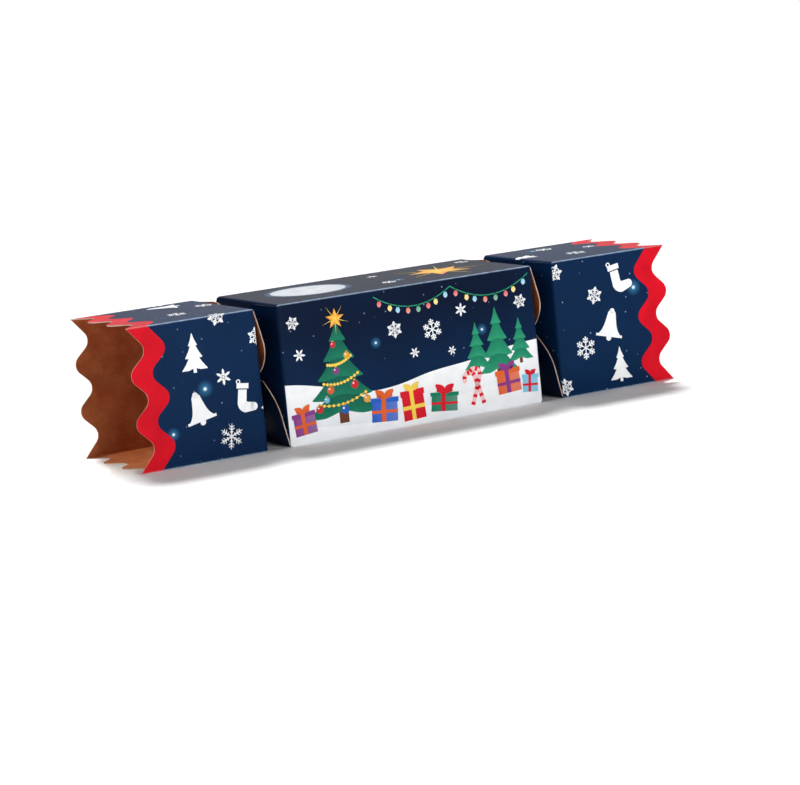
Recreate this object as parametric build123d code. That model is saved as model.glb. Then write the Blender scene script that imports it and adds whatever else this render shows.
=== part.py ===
from build123d import *

import math
import os

# Folded-card Christmas cracker box: a square centre box between two open sleeves, with treats inside.
#
# Millimetres, +X along the cracker, -Y the front, +Z up. The origin is under the middle, on the table.
# One die-cut board makes the box. Every panel between two creases is a piece of its own, and the neck
# flaps swing on their creases when the ends are pulled.

# Board
card_t = 0.5
glue_flap_w = 14.0
glue_flap_setback = 3.0

# Square tube that the three sections share
box_h = 70.0
box_d = 70.0
centre_len = 142.6
sleeve_len = 67.0

# Wavy cut at the open ends
wave_count = 3
wave_depth = 10.0
wave_crest = 2.1
wave_round = 5.5

# Pinched necks: two flaps on each side fold inwards in a V, each overlapping the next like a pinwheel
neck_gap = 12.3
fold_to_axis = 2.0
crease_gap = 0.5
valley_gap = 0.3
mitre_room = 0.7
overlap_straight = 16.0
overlap_inset = 13.0
edge_clear = 0.3

# Tree biscuits, stacked flat
tree_len = 62.0
tree_w = 54.0
tree_t = 8.0
tree_tiers = 3
tree_notch = 0.34
trunk_len = 9.0
trunk_w = 13.0
tree_round = 2.0

# Chew sticks, side by side on the biscuits
stick_len = 60.0
stick_d = 16.0
stick_end_d = 8.0
stick_neck_d = 13.0
stick_taper = 6.0
stick_pitch = 17.5
stick_count = 3

# Kibble pieces, in two layers
kibble_r = 7.0
kibble_t = 8.0
kibble_corner = 3.2
kibble_chamfer = 1.2
kibble_pitch = 13.2
kibble_cols = 4
kibble_rows = 4
kibble_layers = 2
kibble_turn = 47.0

# Loose pieces lie this far from what carries them, and from the ends of the box
seat_gap = 0.2
end_room = 3.0

# Places worked out from the sizes above
centre_end = centre_len / 2
sleeve_in = centre_end + neck_gap
sleeve_tip = sleeve_in + sleeve_len
pinch_depth = min(box_h, box_d) / 2 - card_t / 2 - fold_to_axis
flap_len = math.hypot(pinch_depth, neck_gap / 2)
flap_angle = math.degrees(math.atan2(pinch_depth, neck_gap / 2))
mitre_clear = card_t * flap_len / (neck_gap / 2) + mitre_room

SIDES = {
    "front": (Vector(0, -box_d / 2, box_h / 2), Vector(0, 1, 0), box_h),
    "top": (Vector(0, 0, box_h), Vector(0, 0, -1), box_d),
    "back": (Vector(0, box_d / 2, box_h / 2), Vector(0, -1, 0), box_h),
    "bottom": (Vector(0, 0, 0), Vector(0, 0, 1), box_d),
}


def side_plane(side, depth=0.0):
    """The side's own frame: x along the cracker, z inwards, with its origin depth below the outer face."""
    centre, inwards, _ = SIDES[side]
    return Plane(origin=centre + inwards * depth, x_dir=(1, 0, 0), z_dir=inwards)


def mitred_strip(width, length):
    """A flat strip of board from x = 0, with 45 degree edges so that four of them close into a tube."""
    half = width / 2
    inner = half - card_t
    section = Polyline((-half, 0), (half, 0), (inner, card_t), (-inner, card_t), close=True)
    return extrude(Plane.YZ * make_face(section), amount=length)


def wavy_blank(width):
    """The flat outline of a sleeve panel: rounded waves between sharp corner tips, straight inner end."""
    steps = 2 * wave_count
    along = [wave_depth if i % 2 else -wave_crest for i in range(steps + 1)]
    along[0] = along[-1] = 0.0
    zigzag = [(x, width * (i / steps - 0.5)) for i, x in enumerate(along)]
    wave = FilletPolyline(*zigzag, radius=wave_round)
    rest = Polyline(zigzag[-1], (sleeve_len, width / 2), (sleeve_len, -width / 2), zigzag[0])
    return extrude(make_face(wave.edges() + rest.edges()), amount=card_t)


def centre_panel(side):
    """One wall of the centre box."""
    strip = mitred_strip(SIDES[side][2], centre_len)
    return side_plane(side) * Pos(-centre_end, 0, 0) * strip


def sleeve_panel(side):
    """One wall of the left sleeve, with its wavy outer end."""
    width = SIDES[side][2]
    strip = Pos(-wave_crest, 0, 0) * mitred_strip(width, sleeve_len + wave_crest)
    panel = strip & wavy_blank(width)
    return side_plane(side) * Pos(-sleeve_tip, 0, 0) * panel


def glue_flap(start, end):
    """The strip that closes the tube, folded from the bottom panel and glued behind the front panel."""
    strip = Box(end - start, card_t, glue_flap_w, align=(Align.MIN, Align.MIN, Align.MIN))
    return Pos(start, -box_d / 2 + card_t, card_t) * strip


def flap_outline(width):
    """Flat neck flap: its +y edge runs along the corner and then curves in over the next flap,
    and its -y edge is mitred clear of the flap before."""
    reach = flap_len + card_t
    base = width / 2 - card_t - edge_clear
    turn = (overlap_straight, width / 2 - edge_clear)
    tip = (reach, width / 2 - overlap_inset)
    corner_run = Line((crease_gap, base), turn)
    curl = TangentArc(turn, tip, tangent=corner_run % 1)
    mitre_base = (crease_gap, crease_gap + mitre_clear - width / 2)
    mitre_tip = (reach, reach + mitre_clear - width / 2)
    rest = Polyline(tip, mitre_tip, mitre_base, (crease_gap, base))
    return make_face(corner_run.edges() + curl.edges() + rest.edges())


def neck_flap(side, crease_x, towards):
    """A neck flap on its crease at crease_x, leaning towards +X or -X and ending at the valley fold."""
    plate = Pos(0, 0, -card_t / 2) * extrude(flap_outline(SIDES[side][2]), amount=card_t)
    leaning = Rot(0, -flap_angle, 0) * plate
    room = 2 * max(box_h, box_d)
    near_side = Box(room, room, room, align=(Align.MAX, Align.CENTER, Align.CENTER))
    flap = leaning & Pos((neck_gap - valley_gap) / 2, 0, 0) * near_side
    if towards < 0:
        flap = Rot(0, 0, 180) * flap
    return side_plane(side, card_t / 2) * Pos(crease_x, 0, 0) * flap


def tree_biscuit(layer):
    """A flat fir tree with rounded tiers and a short trunk, its tip towards the left end."""
    crown = tree_len - trunk_len
    tier = crown / tree_tiers
    half = [(0.0, tree_w * 0.03)]
    for i in range(1, tree_tiers + 1):
        wide = tree_w / 2 * (i + tree_notch) / (tree_tiers + tree_notch)
        half.append((i * tier, wide))
        if i < tree_tiers:
            half.append((i * tier, wide * (1 - tree_notch)))
    half += [(crown, trunk_w / 2), (tree_len, trunk_w / 2)]
    outline = half + [(x, -y) for x, y in reversed(half)]
    face = make_face(Polyline(*outline, close=True))
    face = fillet(face.vertices(), tree_round / 2)
    body = extrude(face, amount=tree_t)
    rise = card_t + seat_gap + layer * (tree_t + seat_gap)
    return Pos(-centre_end + end_room, 0, rise) * body


def chew_stick(index):
    """A dried stick with tapered ends, lying along the cracker on the biscuits."""
    profile = [(0, 0), (0, stick_end_d / 2), (stick_taper / 3, stick_neck_d / 2), (stick_taper, stick_d / 2)]
    profile += [(stick_len - x, r) for x, r in reversed(profile)]
    body = revolve(make_face(Polyline(*profile, close=True)), axis=Axis.X)
    rise = card_t + seat_gap + 2 * (tree_t + seat_gap) + stick_d / 2
    across = (index - (stick_count - 1) / 2) * stick_pitch
    return Pos(-centre_end + end_room, across, rise) * body


def kibble():
    """Small blunt triangular chunks, laid in rows and layers at the right end of the centre box."""
    face = RegularPolygon(kibble_r, 3)
    face = chamfer(face.vertices(), kibble_corner)
    chunk = extrude(face, amount=kibble_t)
    rims = chunk.edges().group_by(Axis.Z)
    chunk = chamfer(rims[0] + rims[-1], kibble_chamfer)
    pieces = []
    for layer in range(kibble_layers):
        for row in range(kibble_rows):
            for col in range(kibble_cols):
                x = centre_end - end_room - (col + 0.5) * kibble_pitch
                y = (row - (kibble_rows - 1) / 2) * kibble_pitch
                z = card_t + seat_gap + layer * (kibble_t + seat_gap)
                turn = kibble_turn * len(pieces)
                pieces.append(Pos(x, y, z) * Rot(0, 0, turn) * chunk)
    return Compound(children=pieces)


def build():
    """All pieces of the cracker, by node name."""
    nodes = {}
    for side in SIDES:
        nodes[f"centre_{side}_panel"] = centre_panel(side)
        left = sleeve_panel(side)
        nodes[f"left_{side}_panel"] = left
        nodes[f"right_{side}_panel"] = mirror(left, about=Plane.YZ)
        for end, sign in (("left", -1), ("right", 1)):
            nodes[f"{end}_neck_{side}_inner_flap"] = neck_flap(side, sign * centre_end, sign)
            nodes[f"{end}_neck_{side}_outer_flap"] = neck_flap(side, sign * sleeve_in, -sign)
    nodes["centre_glue_flap"] = glue_flap(-centre_end + glue_flap_setback, centre_end - glue_flap_setback)
    sleeve_strip = glue_flap(-sleeve_tip + wave_depth + glue_flap_setback, -sleeve_in - glue_flap_setback)
    nodes["left_glue_flap"] = sleeve_strip
    nodes["right_glue_flap"] = mirror(sleeve_strip, about=Plane.YZ)
    nodes["lower_tree_biscuit"] = tree_biscuit(0)
    nodes["upper_tree_biscuit"] = tree_biscuit(1)
    for i, place in enumerate(("front", "middle", "rear")):
        nodes[f"{place}_chew_stick"] = chew_stick(i)
    nodes["kibble_pieces"] = kibble()
    return nodes


if __name__ == "__main__":
    os.makedirs("parts", exist_ok=True)
    for name, solid in build().items():
        export_step(solid, f"parts/{name}.step")
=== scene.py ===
"""Dresses the folded-card Christmas cracker box: printed board, kraft inside, pinched necks and treats."""

import logging
import math
from dataclasses import dataclass
from enum import Enum, IntEnum
from typing import Any

import bpy
import numpy as np
from mathutils import Matrix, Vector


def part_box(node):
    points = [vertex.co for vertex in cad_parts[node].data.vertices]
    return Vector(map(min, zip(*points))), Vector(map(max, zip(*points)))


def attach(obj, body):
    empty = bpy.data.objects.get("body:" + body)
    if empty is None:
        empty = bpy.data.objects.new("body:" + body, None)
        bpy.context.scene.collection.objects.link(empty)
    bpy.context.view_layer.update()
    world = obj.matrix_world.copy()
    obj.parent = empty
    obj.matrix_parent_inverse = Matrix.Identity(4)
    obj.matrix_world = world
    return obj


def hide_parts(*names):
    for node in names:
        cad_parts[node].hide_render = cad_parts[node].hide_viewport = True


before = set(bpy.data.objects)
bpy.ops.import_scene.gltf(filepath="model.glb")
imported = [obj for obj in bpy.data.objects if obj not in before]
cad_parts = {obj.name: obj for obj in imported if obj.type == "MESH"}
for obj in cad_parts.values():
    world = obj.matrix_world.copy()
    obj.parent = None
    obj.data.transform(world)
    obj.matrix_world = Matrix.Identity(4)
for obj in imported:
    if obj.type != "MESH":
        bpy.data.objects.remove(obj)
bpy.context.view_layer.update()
MM = 0.001
LOG = logging.getLogger("cracker")
SIDES = ("front", "top", "back", "bottom")
ENDS = {"left": -1, "right": 1}

Array = np.ndarray
Socket = bpy.types.NodeSocket
Outputs = bpy.types.NodeOutputs
Material = bpy.types.Material
Piece = bpy.types.Object
Colour = tuple[float, float, float, float]
Spot = tuple[float, float, float]
Flat = tuple[float, float]


def linear(hex_colour: str) -> Colour:
    """Turns a hex colour as seen on screen into linear light.

    Args:
        hex_colour: Six hex digits, such as "d51a2b".

    Returns:
        Red, green and blue, each from 0 to 1, and full cover.
    """
    shown = np.array([int(hex_colour[i:i + 2], 16) for i in (0, 2, 4)]) / 255
    light = np.where(shown <= 0.04045, shown / 12.92, ((shown + 0.055) / 1.055) ** 2.4)
    return (*light.tolist(), 1.0)


def stacked(*axes: Array | float) -> Array:
    """Joins coordinates, in shapes that spread over each other, into points on a new last axis."""
    return np.stack(np.broadcast_arrays(*axes), axis=-1)


class Ink(Enum):
    """The printed colours."""

    WHITE = "f4f6f8"
    SNOW_SHADE = "c9d3e2"
    # Deeper blue: painted shade at the foot of the back's snow.
    SNOW_PAINTED_SHADE = "93aecf"
    RED = "d8192c"
    DEEP_RED = "a01322"
    GREEN = "137a5c"
    DEEP_GREEN = "0c5a49"
    LIGHT_GREEN = "2c9a72"
    GOLD = "f2a93b"
    YELLOW = "f7d354"
    ORANGE = "e2622c"
    BLUE = "2a5fc4"
    LIGHT_BLUE = "7cc3e0"
    PURPLE = "8a3a86"
    BROWN = "6b3a22"
    NIGHT = "0f2447"
    CANE = "f3c4c4"
    MOON = "d9dde2"
    MOON_SHADE = "b9c0ca"

    @property
    def light(self) -> Colour:
        """The ink in linear light, with full cover."""
        return linear(self.value)


class Shading:
    """A node tree, with calls that add nodes and join their inputs. Hex strings stand for colours."""

    def __init__(self, tree: bpy.types.NodeTree) -> None:
        """Keeps the tree to add to."""
        self.tree = tree

    def join(self, target: Socket, value: Any) -> None:
        """Links an output to an input, or sets the input to a value."""
        if isinstance(value, Socket):
            self.tree.links.new(value, target)
        else:
            target.default_value = linear(value) if isinstance(value, str) else value

    def node(self, kind: str, inputs: dict[str | int, Any] | None = None, **settings: Any) -> bpy.types.Node:
        """Adds a node.

        Args:
            kind: The node's type name.
            inputs: Values or output sockets, by input name or number.
            **settings: The node's own properties.

        Returns:
            The new node.
        """
        made = self.tree.nodes.new(kind)
        for name, value in settings.items():
            setattr(made, name, value)
        for key, value in (inputs or {}).items():
            self.join(made.inputs[key], value)
        return made

    def noise(self, where: Socket, scale: float | Socket, detail: float, rough: float = 0.5) -> Socket:
        """Noise from 0 to 1 at a scale in cells per metre."""
        inputs = {"Vector": where, "Scale": scale, "Detail": detail, "Roughness": rough}
        return self.node("ShaderNodeTexNoise", inputs).outputs["Fac"]

    def cells(self, where: Socket, scale: float | Socket) -> tuple[Socket, Socket]:
        """Scattered cells: the distance from a cell's middle, and a chance that is even over the cell."""
        made = self.node("ShaderNodeTexVoronoi", {"Vector": where, "Scale": scale})
        chance = self.node("ShaderNodeSeparateColor", {0: made.outputs["Color"]}).outputs[0]
        return made.outputs["Distance"], chance

    def ramp(
        self, value: Socket, low: float, high: float, to_low: float = 0.0, to_high: float = 1.0
    ) -> Socket:
        """Maps low..high to to_low..to_high with soft ends."""
        inputs = {"Value": value, "From Min": low, "From Max": high, "To Min": to_low, "To Max": to_high}
        return self.node("ShaderNodeMapRange", inputs, interpolation_type="SMOOTHSTEP").outputs["Result"]

    def math(self, operation: str, first: Any, second: Any = 0.0) -> Socket:
        """One arithmetic step on values or sockets."""
        return self.node("ShaderNodeMath", {0: first, 1: second}, operation=operation).outputs[0]

    def mix(self, share: Any, first: Any, second: Any) -> Socket:
        """Mixes two colours by a share from 0 to 1."""
        return self.node("ShaderNodeMix", {0: share, 6: first, 7: second}, data_type="RGBA").outputs[2]

    def bump(self, height: Socket, strength: float, depth_mm: float) -> Socket:
        """A normal from a height that is depth_mm tall at 1."""
        inputs = {"Height": height, "Strength": strength, "Distance": depth_mm * MM}
        return self.node("ShaderNodeBump", inputs).outputs["Normal"]

    def attribute(self, name: str) -> bpy.types.Node:
        """Reads the piece's own attribute."""
        return self.node("ShaderNodeAttribute", attribute_name=name)

    def place(self) -> Socket:
        """Object coordinates, in metres."""
        return self.node("ShaderNodeTexCoord").outputs["Object"]

    def drawn(self, share: float) -> Socket:
        """Object coordinates that draw a pattern out along the cracker."""
        inputs = {"Vector": self.place(), "Scale": (share, 1.0, 1.0)}
        return self.node("ShaderNodeMapping", inputs).outputs[0]


class Effect:
    """A shader group that several finishes place with their own values."""

    def __init__(self, name: str, *inputs: str) -> None:
        """Starts the group.

        Args:
            name: The group's name.
            *inputs: Names of the values that it takes.
        """
        self.tree = bpy.data.node_groups.new(name, "ShaderNodeTree")
        for label in inputs:
            self.tree.interface.new_socket(label, in_out="INPUT", socket_type="NodeSocketFloat")
        self.kit = Shading(self.tree)
        self.values = self.kit.node("NodeGroupInput").outputs
        self.where = self.kit.place()

    def put_out(self, **outputs: Socket) -> "Effect":
        """Ends the group with its named outputs."""
        for label in outputs:
            self.tree.interface.new_socket(label, in_out="OUTPUT", socket_type="NodeSocketFloat")
        self.kit.node("NodeGroupOutput", outputs)
        return self

    def place_in(self, kit: Shading, **inputs: float) -> Outputs:
        """Places the group in a material with that material's values, and hands back its outputs."""
        return kit.node("ShaderNodeGroup", inputs, node_tree=self.tree).outputs


def board_grain() -> Effect:
    """Paper: fine fibres as a height, and soft blotches."""
    effect = Effect("board_grain", "Fibre", "Blotch")
    height = effect.kit.noise(effect.where, effect.values["Fibre"], 3.0)
    mottle = effect.kit.noise(effect.where, effect.values["Blotch"], 5.0)
    return effect.put_out(Height=height, Mottle=mottle)


def crease_wear_and_highlight() -> Effect:
    """Uneven pale rubbing and a painted highlight where the board is folded: the piece's crease attribute
    times patches of noise.
    """
    effect = Effect("crease_wear_and_highlight", "Amount")
    kit = effect.kit
    patches = kit.ramp(kit.noise(effect.where, 260.0, 4.0), 0.3, 0.7, 0.65, 1.0)
    line = kit.math("MULTIPLY", kit.attribute("crease").outputs["Fac"], patches)
    return effect.put_out(Wear=kit.math("MULTIPLY", line, effect.values["Amount"]))


def crumb_surface() -> Effect:
    """Baked crumb: pits, coarse lumps and scattered flecks."""
    effect = Effect("crumb_surface", "Lump", "Fleck")
    kit = effect.kit
    rough = kit.noise(effect.where, effect.values["Lump"], 8.0)
    away, chance = kit.cells(effect.where, effect.values["Fleck"])
    fleck = kit.ramp(away, 0.16, 0.30, 1.0, 0.0)
    hollow = kit.math("MULTIPLY", kit.ramp(away, 0.0, 0.35, 1.0, 0.0), 0.45)
    return effect.put_out(
        Height=kit.math("SUBTRACT", rough, hollow),
        Tone=rough,
        Flecks=kit.math("MULTIPLY", fleck, kit.ramp(chance, 0.70, 0.74)),
    )


class Effects:
    """The shared shader groups, made once."""

    def __init__(self) -> None:
        """Builds every group."""
        self.grain = board_grain()
        self.wear_and_highlight = crease_wear_and_highlight()
        self.crumb = crumb_surface()


class Finish:
    """A material with one Principled shader."""

    def __init__(self, name: str, roughness: float, specular: float) -> None:
        """Starts the material.

        Args:
            name: The material's name.
            roughness: The shader's roughness where nothing varies it.
            specular: The shader's specular level.
        """
        self.material = bpy.data.materials.new(name)
        self.material.use_nodes = True
        self.material.node_tree.nodes.clear()
        self.kit = Shading(self.material.node_tree)
        even = {"Roughness": roughness, "Specular IOR Level": specular}
        self.shader = self.kit.node("ShaderNodeBsdfPrincipled", even)
        self.kit.node("ShaderNodeOutputMaterial", {"Surface": self.shader.outputs["BSDF"]})

    def done(
        self, colour: Socket, normal: Socket | None = None, roughness: Socket | None = None
    ) -> Material:
        """Joins what varies to the shader.

        Args:
            colour: The base colour.
            normal: The bumped normal.
            roughness: The uneven roughness.

        Returns:
            The finished material.
        """
        for label, socket in (("Base Color", colour), ("Normal", normal), ("Roughness", roughness)):
            if socket is not None:
                self.kit.join(self.shader.inputs[label], socket)
        return self.material

    def coated(
        self, effects: Effects, ink: Socket, grain: Outputs, amount: float, wear_and_highlight_tone: str, gloss: float
    ) -> Material:
        """Ends a satin print: pale rubbing and a painted fold highlight on the creases, a fine fibre under
        the coat and uneven gloss.

        Args:
            effects: The shared shader groups.
            ink: The print's colour.
            grain: Outputs of the board's grain.
            amount: How strong the rubbing and the painted highlight are.
            wear_and_highlight_tone: Colour of the rubbing and of the painted highlight.
            gloss: The least roughness.

        Returns:
            The finished material.
        """
        # Pale along the creases: partly rubbed board, partly a painted highlight where the rounded fold
        # catches the light.
        wear_and_highlight = effects.wear_and_highlight.place_in(self.kit, Amount=amount)["Wear"]
        normal = self.kit.bump(grain["Height"], 0.12, 0.05)
        roughness = self.kit.ramp(grain["Height"], 0.2, 0.8, gloss, gloss + 0.12)
        return self.done(self.kit.mix(wear_and_highlight, ink, wear_and_highlight_tone), normal, roughness)


@dataclass(frozen=True)
class PrintedBoard:
    """Satin-coated board printed with a night sky: soft clouds of blue, small specks and a few glows."""

    name: str = "printed_night_sky"
    deep: str = "08152c"
    cloud: str = "0b294d"
    # Light blue along the folds: a painted highlight of the rounded fold, with pale rubbing.
    wear_and_highlight_tone: str = "b7cfec"
    haze: str = "3f86b5"
    spark: str = "d9f1fb"
    speck: str = "b9d2ea"
    speck_cells: float = 190.0
    glows: tuple[tuple[Spot, float], ...] = (
        ((-113.4, -35.0, 35.5), 5.0),
        ((-132.1, -35.0, 16.3), 4.0),
        ((130.5, -35.0, 50.6), 5.0),
        ((-20.0, -35.0, 44.0), 3.5),
        ((40.0, -35.0, 42.0), 3.5),
        ((-55.0, 2.0, 70.0), 5.0),
        ((8.0, -12.0, 70.0), 4.0),
        ((105.0, 20.0, 70.0), 5.0),
        ((-118.0, 35.0, 30.0), 5.0),
        ((25.0, 35.0, 50.0), 5.0),
        ((120.0, 35.0, 44.0), 5.0),
    )

    def specks(self, kit: Shading, where: Socket) -> Socket:
        """Soft dots in the middle of most cells: those whose chance is high enough."""
        away, chance = kit.cells(where, self.speck_cells)
        return kit.math("MULTIPLY", kit.ramp(away, 0.0, 0.1, 1.0, 0.0), kit.ramp(chance, 0.2, 0.28))

    def build(self, effects: Effects) -> Material:
        """Makes the material."""
        finish = Finish(self.name, 0.36, 0.03)
        kit = finish.kit
        where = kit.place()
        grain = effects.grain.place_in(kit, Fibre=1600.0, Blotch=26.0)
        apart = kit.node("ShaderNodeSeparateXYZ", {0: where}).outputs
        outer = kit.ramp(kit.math("ABSOLUTE", apart[0]), 0.066, 0.088, 0.0, 0.75)
        low = kit.ramp(apart[2], 0.012, 0.068, 0.7, 0.0)
        clouds = kit.ramp(grain["Mottle"], 0.40, 0.72, 0.0, 0.25)
        sky = kit.mix(kit.math("ADD", kit.math("MAXIMUM", outer, low), clouds), self.deep, self.cloud)
        for place, size in self.glows:
            ends = {0: where, 1: tuple(v * MM for v in place)}
            away = kit.node("ShaderNodeVectorMath", ends, operation="DISTANCE").outputs["Value"]
            sky = kit.mix(kit.ramp(away, 0.0, size * MM, 0.55, 0.0), sky, self.haze)
            sky = kit.mix(kit.ramp(away, 0.1 * size * MM, 0.26 * size * MM, 0.9, 0.0), sky, self.spark)
        sky = kit.mix(kit.math("MULTIPLY", self.specks(kit, where), 0.75), sky, self.speck)
        return finish.coated(effects, sky, grain, 0.9, self.wear_and_highlight_tone, 0.30)


@dataclass(frozen=True)
class InkFilm:
    """Printed ink: the colour comes from the piece, with a little unevenness, and pale rubbing with a
    painted highlight on the creases.
    """

    name: str = "printed_ink"
    # Pale grey along the creases: rubbing, with the shared painted fold highlight.
    wear_and_highlight_tone: str = "d9d6d2"
    dark: Colour = (0.0, 0.004, 0.02, 1.0)

    def build(self, effects: Effects) -> Material:
        """Makes the material."""
        finish = Finish(self.name, 0.38, 0.08)
        kit = finish.kit
        grain = effects.grain.place_in(kit, Fibre=1600.0, Blotch=150.0)
        shade = kit.ramp(grain["Mottle"], 0.3, 0.7, 0.0, 0.06)
        ink = kit.mix(shade, kit.attribute("ink").outputs["Color"], self.dark)
        return finish.coated(effects, ink, grain, 0.45, self.wear_and_highlight_tone, 0.32)


@dataclass(frozen=True)
class RedBand:
    """The plain red print along the wavy ends."""

    name: str = "printed_red_band"
    red: str = "d81326"
    dark: str = "c00f21"
    # Pale pink along the creases: rubbing, with the shared painted fold highlight.
    wear_and_highlight_tone: str = "e9b9b4"

    def build(self, effects: Effects) -> Material:
        """Makes the material."""
        finish = Finish(self.name, 0.36, 0.03)
        grain = effects.grain.place_in(finish.kit, Fibre=1600.0, Blotch=45.0)
        red = finish.kit.mix(finish.kit.ramp(grain["Mottle"], 0.35, 0.7), self.red, self.dark)
        return finish.coated(effects, red, grain, 0.5, self.wear_and_highlight_tone, 0.30)


@dataclass(frozen=True)
class KraftInside:
    """Bare brown kraft: blotchy pulp with short darker and paler fibres."""

    name: str = "kraft_inside"
    brown: str = "bd6b3f"
    dark: str = "a6562e"
    pale_fibre: str = "cf9164"
    dark_fibre: str = "4e2a14"

    def build(self, effects: Effects) -> Material:
        """Makes the material."""
        finish = Finish(self.name, 0.85, 0.2)
        kit = finish.kit
        grain = effects.grain.place_in(kit, Fibre=2200.0, Blotch=90.0)
        tone = kit.mix(kit.ramp(grain["Mottle"], 0.3, 0.7), self.dark, self.brown)
        strands = kit.noise(kit.drawn(0.25), 1500.0, 2.0)
        tone = kit.mix(kit.ramp(strands, 0.60, 0.74, 0.0, 0.35), tone, self.pale_fibre)
        tone = kit.mix(kit.ramp(strands, 0.30, 0.40, 0.25, 0.0), tone, self.dark_fibre)
        return finish.done(tone, kit.bump(grain["Height"], 0.25, 0.06))


@dataclass(frozen=True)
class CutEdge:
    """The pale core of the board along a die cut."""

    name: str = "board_cut_edge"
    pale: str = "c9b4a6"
    brown: str = "a98b78"

    def build(self, effects: Effects) -> Material:
        """Makes the material."""
        finish = Finish(self.name, 0.8, 0.2)
        grain = effects.grain.place_in(finish.kit, Fibre=2600.0, Blotch=160.0)
        tone = finish.kit.mix(finish.kit.ramp(grain["Mottle"], 0.35, 0.65), self.pale, self.brown)
        return finish.done(tone, finish.kit.bump(grain["Height"], 0.3, 0.05))


@dataclass(frozen=True)
class BakedCrumb:
    """A baked treat: lumpy crumb with pits and flecks."""

    name: str
    light_tone: str
    dark_tone: str
    fleck: str
    lump_cells: float
    fleck_cells: float
    depth_mm: float

    def build(self, effects: Effects) -> Material:
        """Makes the material."""
        finish = Finish(self.name, 0.75, 0.3)
        kit = finish.kit
        crumb = effects.crumb.place_in(kit, Lump=self.lump_cells, Fleck=self.fleck_cells)
        tone = kit.mix(kit.ramp(crumb["Tone"], 0.32, 0.68), self.dark_tone, self.light_tone)
        tone = kit.mix(crumb["Flecks"], tone, self.fleck)
        return finish.done(tone, kit.bump(crumb["Height"], 0.8, self.depth_mm))


@dataclass(frozen=True)
class DriedHide:
    """A dried chew: brown, wrinkled along its length, with a slight oily shine."""

    name: str = "dried_chew"
    light_tone: str = "a8703f"
    dark_tone: str = "5b3217"
    pale: str = "c08a55"

    def build(self, effects: Effects) -> Material:
        """Makes the material."""
        finish = Finish(self.name, 0.55, 0.45)
        kit = finish.kit
        folds = kit.noise(kit.drawn(0.35), 420.0, 6.0, 0.6)
        tone = kit.mix(kit.ramp(folds, 0.3, 0.66), self.dark_tone, self.light_tone)
        grain = effects.grain.place_in(kit, Fibre=1800.0, Blotch=120.0)
        tone = kit.mix(kit.ramp(grain["Mottle"], 0.5, 0.75, 0.0, 0.4), tone, self.pale)
        return finish.done(tone, kit.bump(folds, 0.9, 0.8), kit.ramp(folds, 0.3, 0.7, 0.62, 0.42))


@dataclass(frozen=True)
class PaleFloor:
    """The plain studio floor."""

    name: str = "pale_floor"
    pale: Colour = (0.95, 0.95, 0.95, 1.0)
    dull: Colour = (0.93, 0.93, 0.93, 1.0)

    def build(self, effects: Effects) -> Material:
        """Makes the material."""
        finish = Finish(self.name, 0.9, 0.1)
        grain = effects.grain.place_in(finish.kit, Fibre=300.0, Blotch=1.5)
        return finish.done(finish.kit.mix(grain["Mottle"], self.dull, self.pale))


def crossed(corner: Array) -> Array:
    """The cross product of each quad's diagonals: along its normal, and twice its area long."""
    return np.cross(corner[:, 2] - corner[:, 0], corner[:, 3] - corner[:, 1])


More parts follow.
